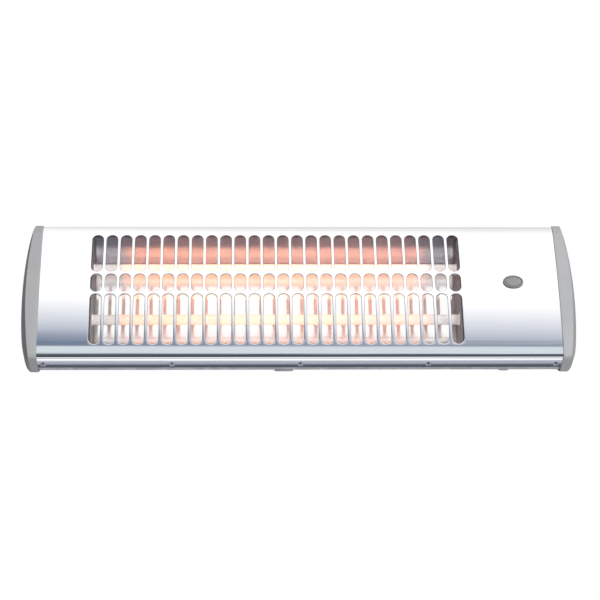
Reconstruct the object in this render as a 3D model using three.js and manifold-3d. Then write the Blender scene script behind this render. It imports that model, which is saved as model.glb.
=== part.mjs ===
// Electric bar heater for a wall: two quartz tubes behind a punched steel cover, on a tilting bracket.
// Millimetres, +Z up, +Y into the wall, the front faces -Y. The origin is on the wall, at the middle of
// the wall bracket. The head is drawn in its own group, where Y = 0 is the crease line of the cover.

import * as THREE from 'three';
import { mergeVertices } from 'three/addons/utils/BufferGeometryUtils.js';
import Module from 'manifold-3d';

const wasm = await Module();
wasm.setup();

// ---- Driving dimensions ----

// Clearances
const gap = 0.3;                  // between pieces that touch
const runningGap = 0.5;           // round the plunger, which slides

// Sheet metal
const sheet = 0.8;                // cover and rear housing
const reflectorSheet = 0.6;
const carrierSheet = 1;
const bracketSheet = 2;

// Cover
const coverVisible = 528;         // between the end caps
const coverTuck = 6;              // under each cap
const coverHeight = 154;
const bandHeight = 11;            // flat bands along the top and bottom edges
const bandSlope = 0.3;            // how far a band falls back for its height
const frontBow = 4;               // bulge of the curved front between the bands
const coverBend = 3;              // outside radius of the folds
const flangeDepth = 22.7;         // straight part behind the bands

// Slots in the cover: 3 rows of round-ended slots
const slotColumns = 26;
const slotPitch = 14.62;
const slotWidth = 11.4;
const slotMiddle = -24.05;        // the pattern's middle, left of the cover's
const slotRows = [[-64.2, -8.5], [-5.4, 15.3], [18.6, 64]];

// Rear housing
const lipFront = 12;              // where its lips start under the cover's flanges
const lipRear = 33;               // where its slopes start
const housingDepth = 72;          // back panel, behind the crease
const backHeight = 100;
const ventCount = 12;
const ventPitch = 30;
const ventWidth = 20;
const ventHeight = 3.2;
const ventRise = 21;              // along the upper slope, from the lip

// End caps
const capProud = 1.4;             // stands out from the cover
const capBand = 13.5;             // flat front band, at mid height
const capTaper = 5.3;             // how much narrower the band is at top and bottom
const capBulge = 5;               // how far the side stands out from the band
const capWall = 2.2;
const capLedge = 1.8;             // step that stops the cover's end
const lugWidth = 24;              // screw lugs, from the cap's wall inwards
const lugSize = 9;
const lugHeight = 36;             // height of each lug from the middle

// Tubes and reflector
const tubeSpacing = 59.9;
const tubeMiddle = 5.05;          // height of the pair's middle
const tubeDepth = 20;             // behind the crease
const tubeRadius = 5.25;
const tubeWall = 1.2;
const carrierSpan = 374.6;         // between the two carrier plates
const carrierFoot = [12, 40];     // foot on the back panel: length and height
const reflectorDepth = 46;        // front of its flat back
const reflectorFront = 8;
const reflectorRoom = 7.5;        // above and below its front edges, inside the cover
const reflectorFlare = 25.5;      // how far each side slopes outwards from the back
const reflectorBend = 30;
const reflectorBendSteps = 6;

// Ceramic ends and terminals, lengths outwards from the carrier's inner face
const ceramicRadius = 7.2;
const ceramicLength = 14;
const spigotWall = 0.85;          // ring round the glass in the carrier's hole
const socketDepth = 10;           // the glass sits this deep in the ceramic
const pinRadius = 1.2;
const pinTail = 21;
const pinReach = 2.5;             // inwards past the socket's floor
const collarRadius = 2.8;
const collarLength = 2;

// Heating coils
const coilRadius = 2.9;           // to the middle of the wire
const coilWire = 0.6;             // radius
const coilCurls = 22;
const coilSteps = 8;
const wireSides = 5;              // also of the connecting wires
const coldLength = 27;            // from the carrier to the first hot curl

// Indicator in the cover
const indicatorAt = [218, 5.5];
const bezelWidth = 21;
const bezelHeight = 15;
const bezelThick = 1.3;
const bezelRim = 1.6;
const bezelNeck = 10;
const neckWall = 0.6;
const lensProud = 0.5;
const lensThick = 5;
const lampRadius = 3.4;
const lampLength = 17;

// Fixings
const screwShank = 1.45;          // radius of the M3 screws
const screwHead = 2.9;
const screwHeadHeight = 1.7;
const screwLength = 8;
const coverScrewSpacing = 129.1;
const coverScrewCount = 5;
const coverScrewDepth = 18.5;
const earthScrewAt = [243, -24];

// Pull switch, in the lower slope: along X, then along the slope from the lip
const switchAt = [208, 9];
const switchSize = [26, 13, 25];
const plungerRadius = 1.5;
const plungerHead = 3.2;
const plungerHeadLength = 3;
const pullTravel = 8;
const bushFlange = 5.5;
const bushNeck = 3.9;
const bushProud = 1.6;
const bushFlangeThick = 1;
const bushThread = 3;             // screwed into the switch
const bushRecess = 1;             // the plunger's end lies this deep in the bush
const cordHole = 0.6;

// Cable gland, in the lower slope
const glandAt = [-16.4, 8];
const glandWidth = 19;
const glandHeight = 12.6;
const glandProud = 1.8;
const glandNeck = [16, 10.8];
const glandCollar = 3;
const glandBore = [11, 9];

// Wiring
const blockSize = [36, 14, 20];
const blockAt = [214, 2];
const blockWays = 3;
const blockWell = 2;              // radius of the screw wells
const cutoutRadius = 8.5;
const cutoutLength = 7;
const cutoutCap = 2.8;            // length of its narrower top
const cutoutCapRadius = 5.1;
const cutoutAt = [45, 8];
const wireRadius = 1.2;
const wireRoom = 5.9;             // from the back panel to the two long wires behind the reflector
const wireRunHeight = 30;
const wireHole = 2.2;             // radius of the holes where they pass the carriers

// Brackets
const pivotBehind = 14;           // pivot behind the back panel
const wallBehind = 24;            // wall behind the pivot
const headBracketWidth = 120;
const headBracketHeight = 48;
const wallBracketHeight = 64;
const earRadius = 10;
const headEarFoot = 32;
const wallEarFoot = 40;
const boltRadius = 3;
const boltHead = 5.5;
const boltHeadLength = 4;
const washerRadius = 8;
const washerThick = 1;
const knobRadius = 12;
const knobLobes = 6;
const knobLobe = 1;
const knobLength = 14;
const knobDrill = 12.4;
const keyholeSpacing = 76;
const keyholeRadius = 4.5;
const keyholeSlot = 2.5;
const keyholeRise = 9;
const rivetRadius = 2;
const rivetHead = 3.6;
const rivetHeadLength = 1.5;
const rivetEdge = [15, 9];        // from the bracket's sides and ends

// ---- Sizes worked out from these ----

const halfHeight = coverHeight / 2;
const arcHalf = halfHeight - bandHeight;
const bandDepth = bandHeight * bandSlope;
const coverHalf = coverVisible / 2 + coverTuck;
const lipHeight = halfHeight - sheet - gap;
const backHalf = backHeight / 2;
const slopeAngle = Math.atan2(lipHeight - backHalf, housingDepth - lipRear);
const panelInside = housingDepth - sheet;
const panelOutside = housingDepth;
const pivotDepth = housingDepth + pivotBehind;
const wallDepth = pivotDepth + wallBehind;
const arcRadius = (arcHalf ** 2 + frontBow ** 2) / (2 * frontBow);
const glassBore = tubeRadius + gap;
const spigotRadius = glassBore + spigotWall;
const reflectorMouth = halfHeight - reflectorRoom;
const reflectorBack = reflectorMouth - reflectorFlare;
const wireRun = panelInside - wireRoom;
const pinBore = pinRadius + gap;
const screwHole = screwShank + gap;
const carrierInset = 2 * (sheet + gap);
const rivetPlaces = [-1, 1].flatMap((across) => [-1, 1].map((up) => [
  across * (headBracketWidth / 2 - rivetEdge[0]), up * (headBracketHeight / 2 - rivetEdge[1])]));
const drillPast = 3;              // how far a drill runs past both faces of a plate

// ---- Materials ----

function material(color, roughness, metalness) {
  return new THREE.MeshStandardMaterial({ color, roughness, metalness });
}

const polishedSteel = material(0xe4e7ec, 0.15, 1);
const galvanised = material(0xa8adb2, 0.45, 0.9);
const mirrorAluminium = material(0xe9ecef, 0.12, 1);
const capGrey = material(0xa9abb0, 0.5, 0);
const quartz = material(0xf6f2ec, 0.1, 0);
const hotWire = material(0xff7a2a, 0.6, 0.3);
const ceramic = material(0xe9e5da, 0.7, 0);
const zincSteel = material(0xc6c9cc, 0.3, 1);
const brass = material(0xc9a553, 0.3, 1);
const lensGrey = material(0x9a9a9c, 0.25, 0);
const darkPlastic = material(0x3b3d40, 0.55, 0);
const whitePlastic = material(0xe6e6e2, 0.5, 0);
const wireSleeve = material(0xd9d4c4, 0.8, 0);
const fibre = material(0x7a5a3c, 0.9, 0);

// ---- Solids, cuts and joins ----

const alongYBasis = new THREE.Matrix4().makeBasis(
  new THREE.Vector3(1, 0, 0), new THREE.Vector3(0, 0, 1), new THREE.Vector3(0, -1, 0));
const alongXBasis = new THREE.Matrix4().makeBasis(
  new THREE.Vector3(0, 1, 0), new THREE.Vector3(0, 0, 1), new THREE.Vector3(1, 0, 0));

function toSolid(geometry) {
  const bare = geometry.clone();
  bare.deleteAttribute('normal');
  bare.deleteAttribute('uv');
  const merged = mergeVertices(bare, 1e-4);
  const vertProperties = new Float32Array(merged.attributes.position.array);
  const triVerts = new Uint32Array(merged.index.array);
  return new wasm.Manifold(new wasm.Mesh({ numProp: 3, vertProperties, triVerts }));
}

function toGeometry(solid) {
  const cutMesh = solid.getMesh();
  const geometry = new THREE.BufferGeometry();
  geometry.setAttribute('position', new THREE.BufferAttribute(cutMesh.vertProperties, 3));
  geometry.setIndex(new THREE.BufferAttribute(cutMesh.triVerts, 1));
  return geometry;
}

function cut(base, tools) {
  const solid = tools.reduce((rest, tool) => rest.subtract(toSolid(tool)), toSolid(base));
  return toGeometry(solid);
}

function join(pieces) {
  const solid = pieces.slice(1).reduce((sum, piece) => sum.add(toSolid(piece)), toSolid(pieces[0]));
  return toGeometry(solid);
}

function shapeOf(points) {
  return new THREE.Shape(points.map(([across, up]) => new THREE.Vector2(across, up)));
}

// Prism of a [y, z] outline, from one X to another
function alongX(points, from, to) {
  const prism = new THREE.ExtrudeGeometry(shapeOf(points), { depth: to - from, bevelEnabled: false });
  return prism.applyMatrix4(alongXBasis).translate(from, 0, 0);
}

// Prism of an [x, z] outline, from one Y to another
function alongY(points, from, to) {
  const prism = new THREE.ExtrudeGeometry(shapeOf(points), { depth: to - from, bevelEnabled: false });
  return prism.applyMatrix4(alongYBasis).translate(0, to, 0);
}

// Prism of an [x, y] outline, from one Z to another
function alongZ(points, from, to) {
  const prism = new THREE.ExtrudeGeometry(shapeOf(points), { depth: to - from, bevelEnabled: false });
  return prism.translate(0, 0, from);
}

function box(low, high) {
  const size = high.map((value, i) => value - low[i]);
  const middle = high.map((value, i) => (value + low[i]) / 2);
  return new THREE.BoxGeometry(...size).translate(...middle);
}

// Turned piece from an anticlockwise [radius, height] profile, about Z
function turnedZ(profile, sides) {
  const points = profile.map(([radius, height]) => new THREE.Vector2(radius, height));
  return new THREE.LatheGeometry(points, sides).rotateX(Math.PI / 2);
}

// The same about X, its height along +X or, with direction -1, along -X
function turnedX(profile, sides, direction = 1) {
  const points = profile.map(([radius, height]) => new THREE.Vector2(radius, height));
  return new THREE.LatheGeometry(points, sides).rotateZ(-direction * Math.PI / 2);
}

// The same about Y, its height along +Y
function turnedY(profile, sides) {
  const points = profile.map(([radius, height]) => new THREE.Vector2(radius, height));
  return new THREE.LatheGeometry(points, sides);
}

function rod(radius, from, to) {
  return [[0, from], [radius, from], [radius, to], [0, to]];
}

function ring(inner, outer, from, to) {
  return [[inner, from], [outer, from], [outer, to], [inner, to], [inner, from]];
}

// ---- Outlines ----

// A point [y, z, radius] becomes an arc of that radius
function softened(points, closed, steps) {
  const result = [];
  const count = points.length;
  points.forEach(([y, z, radius], i) => {
    if (!radius || (!closed && (i === 0 || i === count - 1))) {
      result.push([y, z]);
      return;
    }
    const corner = new THREE.Vector2(y, z);
    const before = new THREE.Vector2(...points[(i + count - 1) % count].slice(0, 2)).sub(corner).normalize();
    const after = new THREE.Vector2(...points[(i + 1) % count].slice(0, 2)).sub(corner).normalize();
    const half = Math.acos(before.dot(after)) / 2;
    const bisector = before.clone().add(after).normalize();
    const centre = corner.clone().addScaledVector(bisector, radius / Math.sin(half));
    const start = corner.clone().addScaledVector(before, radius / Math.tan(half)).sub(centre);
    const end = corner.clone().addScaledVector(after, radius / Math.tan(half)).sub(centre);
    const turn = Math.atan2(start.cross(end), start.dot(end));
    for (let step = 0; step <= steps; step += 1) {
      const spoke = start.clone().rotateAround(new THREE.Vector2(), turn * step / steps);
      result.push([centre.x + spoke.x, centre.y + spoke.y]);
    }
  });
  return result;
}

// Moves a line, or a closed loop, sideways: to the right of its direction of travel
function offset(points, distance, closed) {
  const count = points.length;
  const normalAfter = points.map(([y, z], i) => {
    const [nextY, nextZ] = points[(i + 1) % count];
    const length = Math.hypot(nextY - y, nextZ - z);
    return [(nextZ - z) / length, -(nextY - y) / length];
  });
  return points.map(([y, z], i) => {
    let before = normalAfter[(i + count - 1) % count];
    let after = normalAfter[i];
    if (!closed && i === 0) before = after;
    if (!closed && i === count - 1) after = before;
    const share = distance / (1 + before[0] * after[0] + before[1] * after[1]);
    return [y + (before[0] + after[0]) * share, z + (before[1] + after[1]) * share];
  });
}

function sheetOutline(line, thickness) {
  return [...line, ...offset(line, thickness, false).reverse()];
}

// The curved front between the two creases, from the bottom up
function frontArc(steps) {
  const half = Math.asin(arcHalf / arcRadius);
  return Array.from({ length: steps + 1 }, (_, i) => {
    const angle = half * (2 * i / steps - 1);
    return [arcRadius - frontBow - arcRadius * Math.cos(angle), arcRadius * Math.sin(angle)];
  });
}

function frontDepth(height) {
  return arcRadius - frontBow - Math.sqrt(arcRadius ** 2 - height ** 2);
}

// Round-ended slot standing up, or an oval lying down when it is wider than high
function slot(middleX, bottom, top, width, steps) {
  const height = top - bottom;
  const radius = Math.min(width, height) / 2;
  const alongside = Math.max(width - height, 0) / 2;
  const upright = Math.max(height - width, 0) / 2;
  const middleZ = (top + bottom) / 2;
  const startAngle = upright > 0 ? 0 : -Math.PI / 2;
  const points = [];
  for (const end of [0, 1]) {
    for (let step = 0; step <= steps; step += 1) {
      const angle = startAngle + Math.PI * (end + step / steps);
      const side = end === 0 ? 1 : -1;
      points.push([middleX + side * alongside + radius * Math.cos(angle),
        middleZ + side * upright + radius * Math.sin(angle)]);
    }
  }
  return points;
}

function oval(width, height, steps) {
  return slot(0, -height / 2, height / 2, width, steps);
}

function ellipse(width, height, count) {
  return Array.from({ length: count }, (_, i) => {
    const angle = 2 * Math.PI * i / count;
    return [width / 2 * Math.cos(angle), height / 2 * Math.sin(angle)];
  });
}

// ---- The scene graph ----

const heater = new THREE.Group();
const head = new THREE.Group();
head.position.y = -wallDepth;
heater.add(head);

function put(name, geometry, finish, parent = head) {
  const piece = new THREE.Mesh(geometry, finish);
  piece.name = name;
  parent.add(piece);
  return piece;
}

// Frame on the lower slope's outer face: local Z points into the housing
function slopeFrame([across, along]) {
  const frame = new THREE.Group();
  frame.position.set(across, lipRear + along * Math.cos(slopeAngle),
    -lipHeight + along * Math.sin(slopeAngle));
  frame.rotation.x = slopeAngle;
  frame.updateMatrix();
  return frame;
}

const switchFrame = slopeFrame(switchAt);
const glandFrame = slopeFrame(glandAt);
head.add(switchFrame, glandFrame);

const coverScrewPlaces = Array.from({ length: coverScrewCount },
  (_, i) => (i - (coverScrewCount - 1) / 2) * coverScrewSpacing);
const lugMiddle = coverVisible / 2 + capLedge + coverTuck - lugWidth + lugSize / 2;
const sides = [['left', -1], ['right', 1]];
const tubes = [['upper', tubeMiddle + tubeSpacing / 2], ['lower', tubeMiddle - tubeSpacing / 2]];

// ---- Cover: one folded sheet, punched ----

function coverSolid() {
  const line = softened([
    [bandDepth + flangeDepth, -halfHeight],
    [bandDepth, -halfHeight, coverBend],
    ...frontArc(6),
    [bandDepth, halfHeight, coverBend],
    [bandDepth + flangeDepth, halfHeight],
  ], false, 3);
  const folded = alongX(sheetOutline(line, sheet), -coverHalf, coverHalf);
  const punches = [];
  for (let column = 0; column < slotColumns; column += 1) {
    const middle = slotMiddle + (column - (slotColumns - 1) / 2) * slotPitch;
    for (const [bottom, top] of slotRows) {
      punches.push(alongY(slot(middle, bottom, top, slotWidth, 4), -2 * frontBow, frontBow));
    }
  }
  const [lampX, lampZ] = indicatorAt;
  const hole = ellipse(bezelWidth - 2 * bezelRim + 2 * neckWall + 2 * gap,
    bezelHeight - 2 * bezelRim + 2 * neckWall + 2 * gap, 24);
  punches.push(alongY(hole, -2 * frontBow, frontBow).translate(lampX, 0, lampZ));
  for (const place of coverScrewPlaces) {
    punches.push(turnedZ(rod(screwHole, -halfHeight - 1, -lipHeight), 10)
      .translate(place, coverScrewDepth, 0));
  }
  return cut(folded, punches);
}

put('front_cover', coverSolid(), polishedSteel);

// ---- Rear housing: a pan with sloping sides and a back panel ----

function housingSolid() {
  const line = softened([
    [lipFront, lipHeight],
    [lipRear, lipHeight, coverBend],
    [panelOutside, backHalf, coverBend],
    [panelOutside, -backHalf, coverBend],
    [lipRear, -lipHeight, coverBend],
    [lipFront, -lipHeight],
  ], false, 2);
  const folded = alongX(sheetOutline(line, sheet), -coverHalf, coverHalf);
  const tools = [];
  for (let vent = 0; vent < ventCount; vent += 1) {
    const place = slotMiddle + (vent - (ventCount - 1) / 2) * ventPitch;
    const opening = box([place - ventWidth / 2, -ventHeight / 2, -2 * sheet],
      [place + ventWidth / 2, ventHeight / 2, 2 * sheet]);
    opening.rotateX(-slopeAngle).translate(0, lipRear + ventRise * Math.cos(slopeAngle),
      lipHeight - ventRise * Math.sin(slopeAngle));
    tools.push(opening);
  }
  for (const place of coverScrewPlaces) {
    tools.push(turnedZ(rod(screwHole, -halfHeight, -lipHeight + 2 * sheet), 10)
      .translate(place, coverScrewDepth, 0));
  }
  for (const [, direction] of sides) {
    for (const height of [-lugHeight, lugHeight]) {
      tools.push(turnedY(rod(screwHole, panelInside - 1, panelOutside + 1), 10)
        .translate(direction * lugMiddle, 0, height));
    }
  }
  for (const [x, z] of rivetPlaces) {
    tools.push(turnedY(rod(rivetRadius + gap, panelInside - 1, panelOutside + 1), 10).translate(x, 0, z));
  }
  tools.push(turnedY(rod(screwHole, panelInside - 1, panelOutside + 1), 10)
    .translate(earthScrewAt[0], 0, earthScrewAt[1]));
  tools.push(turnedZ(rod(bushNeck + gap, -2 * sheet, 2 * sheet), 12).applyMatrix4(switchFrame.matrix));
  tools.push(alongZ(oval(glandNeck[0] + 2 * gap, glandNeck[1] + 2 * gap, 6), -2 * sheet, 2 * sheet)
    .applyMatrix4(glandFrame.matrix));
  return cut(folded, tools);
}

put('rear_housing', housingSolid(), galvanised);

// ---- End caps: domed plastic shells that slip over the ends ----

function bodyLoop(inset) {
  const arc = frontArc(6);
  const loop = softened([
    [bandDepth, -halfHeight, coverBend],
    ...arc,
    [bandDepth, halfHeight, coverBend],
    [lipRear, halfHeight, coverBend],
    [panelOutside, backHalf, coverBend],
    [panelOutside, -backHalf, coverBend],
    [lipRear, -halfHeight, coverBend],
  ], true, 2);
  return offset(loop, inset, true);
}

// Rings of the same count joined into one closed skin, with a point at each end
function loft(firstPoint, rings, lastPoint) {
  const count = rings[0].length;
  const positions = [...firstPoint, ...rings.flat(2), ...lastPoint];
  const last = 1 + rings.length * count;
  const index = [];
  for (let i = 0; i < count; i += 1) {
    const next = (i + 1) % count;
    index.push(0, 1 + next, 1 + i);
    for (let level = 0; level + 1 < rings.length; level += 1) {
      const low = 1 + level * count;
      const high = low + count;
      index.push(low + i, low + next, high + next, low + i, high + next, high + i);
    }
    index.push(last - count + i, last - count + next, last);
  }
  const geometry = new THREE.BufferGeometry();
  geometry.setAttribute('position', new THREE.Float32BufferAttribute(positions, 3));
  geometry.setIndex(index);
  return geometry;
}

// Rings of a cap's domed side: rise as a share of the bulge, then how far depth and height draw in
const capDome = [[0, 1, 1], [0.36, 0.975, 0.993], [0.72, 0.88, 0.977], [0.92, 0.74, 0.94], [1, 0.5, 0.8]];
const capHollow = [[1, 0.5, 0.8], [0.64, 0.82, 0.93]];
const capSkin = capWall + 0.3;    // thickness under the dome

function capSolid(direction) {
  const capInner = coverVisible / 2;
  const middleDepth = housingDepth / 2;
  const bandEdge = (height) => capInner + capBand - capTaper * (height / halfHeight) ** 2;
  const ringAt = (loop, rise, shrinkDepth, shrinkHeight) => loop.map(([y, z]) => {
    const height = z * shrinkHeight;
    return [direction * (bandEdge(height) + rise), middleDepth + (y - middleDepth) * shrinkDepth, height];
  });
  const flatRing = (loop, x) => loop.map(([y, z]) => [direction * x, y, z]);
  const outside = bodyLoop(-capProud);
  const seat = bodyLoop(-gap);
  const inside = bodyLoop(capLedge);
  const ledgeX = coverHalf + gap;
  const rings = [
    ...capHollow.map(([rise, depth, height]) => ringAt(inside, rise * capBulge - capSkin, depth, height)),
    flatRing(inside, ledgeX),
    flatRing(seat, ledgeX),
    flatRing(seat, capInner),
    flatRing(outside, capInner),
    ...capDome.map(([rise, depth, height]) => ringAt(outside, rise * capBulge, depth, height)),
  ];
  const innerPoint = [direction * (bandEdge(0) + capBulge - capWall), middleDepth, 0];
  const outerPoint = [direction * (bandEdge(0) + capBulge + 0.2), middleDepth, 0];
  if (direction > 0) rings.forEach((points) => points.reverse());
  const shell = loft(innerPoint, rings, outerPoint);
  const lugInner = lugMiddle - lugSize / 2;
  const lugs = [-lugHeight, lugHeight].map((height) => {
    const low = [direction * lugInner, panelInside - gap - lugSize, height - lugSize / 2];
    const high = [direction * (ledgeX + capBand / 2), panelInside - gap, height + lugSize / 2];
    return box([Math.min(low[0], high[0]), low[1], low[2]], [Math.max(low[0], high[0]), high[1], high[2]]);
  });
  const drills = [-lugHeight, lugHeight].map((height) => turnedY(
    rod(screwHole, panelInside - gap - lugSize - 1, panelInside), 10)
    .translate(direction * lugMiddle, 0, height));
  return cut(join([shell, ...lugs]), drills);
}

for (const [side, direction] of sides) {
  put(`end_cap_${side}`, capSolid(direction), capGrey);
}

// ---- Screws: pan heads, the shank along +Z, under the head ----

function panScrew(length) {
  return [[0, -gap - screwHeadHeight], [screwHead * 0.7, -gap - screwHeadHeight * 0.8],
    [screwHead, -gap - screwHeadHeight * 0.3], [screwHead, -gap], [screwShank, -gap],
    [screwShank, length], [0, length]];
}

coverScrewPlaces.forEach((place, i) => {
  put(`cover_screw_${i + 1}`, turnedZ(panScrew(screwLength), 10)
    .translate(place, coverScrewDepth, -halfHeight), zincSteel);
});

for (const [side, direction] of sides) {
  for (const [level, height] of [['upper', lugHeight], ['lower', -lugHeight]]) {
    put(`cap_screw_${side}_${level}`, turnedY(panScrew(screwLength), 10).rotateX(Math.PI)
      .translate(direction * lugMiddle, panelOutside, height), zincSteel);
  }
}

put('earth_screw', turnedY(panScrew(sheet + gap + 2), 10)
  .translate(earthScrewAt[0], panelInside, earthScrewAt[1]), brass);

// ---- Reflector and the two plates that carry it and the tubes ----

const carrierFace = carrierSpan / 2;

put('reflector', alongX(sheetOutline(softened([
  [reflectorFront, reflectorMouth],
  [reflectorDepth + reflectorSheet, reflectorBack, reflectorBend],
  [reflectorDepth + reflectorSheet, -reflectorBack, reflectorBend],
  [reflectorFront, -reflectorMouth],
], false, reflectorBendSteps), reflectorSheet),
slotMiddle - carrierFace + gap, slotMiddle + carrierFace - gap), mirrorAluminium);

function carrierSolid(direction) {
  const near = slotMiddle + direction * carrierFace;
  const far = near + direction * carrierSheet;
  const plate = alongX(bodyLoop(carrierInset), Math.min(near, far), Math.max(near, far));
  const footEnd = near + direction * carrierFoot[0];
  const footHalf = carrierFoot[1] / 2;
  const tongue = box([Math.min(near, far), reflectorDepth, -footHalf],
    [Math.max(near, far), panelInside - gap, footHalf]);
  const foot = box([Math.min(near, footEnd), panelInside - gap - carrierSheet, -footHalf],
    [Math.max(near, footEnd), panelInside - gap, footHalf]);
  const drills = tubes.map(([, height]) => turnedX(
    rod(spigotRadius + gap, near - drillPast, near + drillPast), 16).translate(0, tubeDepth, height));
  for (const height of [-wireRunHeight, wireRunHeight]) {
    drills.push(turnedX(rod(wireHole, near - drillPast, near + drillPast), 8)
      .translate(0, wireRun, height));
  }
  return cut(join([plate, tongue, foot]), drills);
}

for (const [side, direction] of sides) {
  put(`tube_carrier_${side}`, carrierSolid(direction), galvanised);
}

// ---- Tubes, ceramic ends, terminals and coils ----

const glassEnd = carrierFace + socketDepth - gap;
const pinEnd = pinReach - socketDepth;
const flangeFace = carrierSheet + gap;

// Helix along X from one pin to the other, its ends brought in to the axis
function coilPoints(length) {
  const cold = coldLength - pinEnd - gap;
  const turns = coilCurls + 2;
  const straight = 2 * coilWire;
  const points = [[0, 0, 0]];
  const count = turns * coilSteps;
  for (let step = 0; step <= count; step += 1) {
    const share = step / count;
    const along = straight + (length - 2 * straight) * share;
    const fromEnd = Math.min(along - straight, length - straight - along) / (cold - straight);
    const radius = coilRadius * THREE.MathUtils.smoothstep(fromEnd, 0, 1);
    const angle = 2 * Math.PI * turns * share;
    points.push([along, radius * Math.cos(angle), radius * Math.sin(angle)]);
  }
  points.push([length, 0, 0]);
  return points.map((point) => new THREE.Vector3(...point));
}

// Tube of a few sides along points, its section carried without twist
function woundTube(points, radius, sectionSides) {
  const directionAt = (i) => points[Math.min(i + 1, points.length - 1)].clone()
    .sub(points[Math.max(i - 1, 0)]).normalize();
  const normal = new THREE.Vector3(0, 1, 0);
  const rings = points.map((point, i) => {
    const forward = directionAt(i);
    normal.addScaledVector(forward, -normal.dot(forward)).normalize();
    const binormal = forward.clone().cross(normal);
    return Array.from({ length: sectionSides }, (_, k) => {
      const angle = 2 * Math.PI * k / sectionSides;
      return point.clone().addScaledVector(normal, radius * Math.cos(angle))
        .addScaledVector(binormal, radius * Math.sin(angle)).toArray();
    });
  });
  return loft(points[0].toArray(), rings, points[points.length - 1].toArray());
}

// Least gap between a wound tube's curls, measured on points a curl or more apart
function leastGap(points, radius) {
  let least = Infinity;
  for (let i = 0; i < points.length; i += 1) {
    for (let k = i + Math.floor(coilSteps * 0.7); k < points.length; k += 1) {
      least = Math.min(least, points[i].distanceTo(points[k]) - 2 * radius);
    }
  }
  return least;
}

const coilLength = 2 * (carrierFace - pinEnd - gap);
const coilPath = coilPoints(coilLength);
console.log(`coil: ${coilCurls} hot curls, least gap ${leastGap(coilPath, coilWire).toFixed(2)} mm`);

for (const [level, height] of tubes) {
  const glass = turnedX(ring(tubeRadius - tubeWall, tubeRadius, -glassEnd, glassEnd), 20);
  put(`quartz_tube_${level}`, glass.translate(slotMiddle, tubeDepth, height), quartz);
  put(`heating_coil_${level}`, woundTube(coilPath, coilWire, wireSides)
    .translate(slotMiddle - coilLength / 2, tubeDepth, height), hotWire);
  for (const [side, direction] of sides) {
    const place = slotMiddle + direction * carrierFace;
    const holder = turnedX([
      [pinBore, -ceramicLength], [ceramicRadius, -ceramicLength], [ceramicRadius, -flangeFace],
      [spigotRadius, -flangeFace], [spigotRadius, 0], [glassBore, 0], [glassBore, -socketDepth],
      [pinBore, -socketDepth], [pinBore, -ceramicLength],
    ], 16, -direction);
    put(`ceramic_end_${level}_${side}`, holder.translate(place, tubeDepth, height), ceramic);
    const collar = -ceramicLength - gap;
    const pin = turnedX([
      [0, -pinTail], [pinRadius, -pinTail], [pinRadius, collar - collarLength],
      [collarRadius, collar - collarLength], [collarRadius, collar], [pinRadius, collar],
      [pinRadius, pinEnd], [0, pinEnd],
    ], 8, -direction);
    put(`terminal_pin_${level}_${side}`, pin.translate(place, tubeDepth, height), zincSteel);
  }
}

// ---- Indicator: bezel through the cover, lens in it, lamp behind ----

const [indicatorX, indicatorZ] = indicatorAt;
const coverFace = frontDepth(indicatorZ);
const bezelBack = coverFace - gap;
const lensSize = [bezelWidth - 2 * bezelRim, bezelHeight - 2 * bezelRim];
const lensFront = bezelBack - bezelThick - lensProud;

function bezelSolid() {
  const flange = alongY(ellipse(bezelWidth, bezelHeight, 24), bezelBack - bezelThick, bezelBack);
  const neck = alongY(ellipse(lensSize[0] + 2 * neckWall, lensSize[1] + 2 * neckWall, 24),
    bezelBack - bezelThick / 2, bezelBack + bezelNeck);
  const bore = alongY(ellipse(lensSize[0], lensSize[1], 24), bezelBack - 2 * bezelThick,
    bezelBack + bezelNeck + 1);
  return cut(join([flange, neck]), [bore]);
}

put('indicator_bezel', bezelSolid().translate(indicatorX, 0, indicatorZ), capGrey);
put('indicator_lens', alongY(ellipse(lensSize[0] - 2 * gap, lensSize[1] - 2 * gap, 24), lensFront,
  lensFront + lensThick).translate(indicatorX, 0, indicatorZ), lensGrey);
const lampFront = lensFront + lensThick + gap;
put('indicator_lamp', turnedY(rod(lampRadius, lampFront, lampFront + lampLength), 16)
  .translate(indicatorX, 0, indicatorZ), whitePlastic);

// ---- Pull switch: body inside the lower slope, bush outside, plunger through both ----

const switchFloor = sheet + gap;
const bushTop = switchFloor + bushThread;
const guideTop = bushTop + gap + 2;
const plungerEnd = bushRecess - bushProud;
const headBottom = guideTop + pullTravel + 1.6;
const headTop = headBottom + plungerHeadLength;

function switchSolid() {
  const [width, depth, height] = switchSize;
  const body = box([-width / 2, -depth / 2, switchFloor], [width / 2, depth / 2, switchFloor + height]);
  const recess = turnedZ(rod(bushNeck + gap, switchFloor - 1, bushTop + gap), 12);
  const guide = turnedZ(rod(plungerRadius + runningGap, bushTop, guideTop + 1), 12);
  const chamber = turnedZ(rod(plungerHead + runningGap, guideTop, headTop + runningGap), 12);
  return cut(body, [recess, guide, chamber]);
}

function plungerSolid() {
  const stem = turnedZ([[0, plungerEnd], [plungerRadius, plungerEnd], [plungerRadius, headBottom],
    [plungerHead, headBottom], [plungerHead, headTop], [0, headTop]], 12);
  const eye = turnedX(rod(cordHole, -plungerHead, plungerHead), 8)
    .translate(0, 0, plungerEnd + 2 * cordHole);
  return cut(stem, [eye]);
}

put('pull_switch', switchSolid(), darkPlastic, switchFrame);
put('pull_plunger', plungerSolid(), whitePlastic, switchFrame);
const bushBore = plungerRadius + runningGap;
put('cord_bush', turnedZ([
  [bushBore, -bushProud], [bushNeck, -bushProud], [bushFlange - 0.6, -gap - bushFlangeThick],
  [bushFlange, -gap - bushFlangeThick + 0.5], [bushFlange, -gap], [bushNeck, -gap], [bushNeck, bushTop],
  [bushBore, bushTop], [bushBore, -bushProud],
], 12), capGrey, switchFrame);

// ---- Cable gland in the lower slope ----

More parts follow.
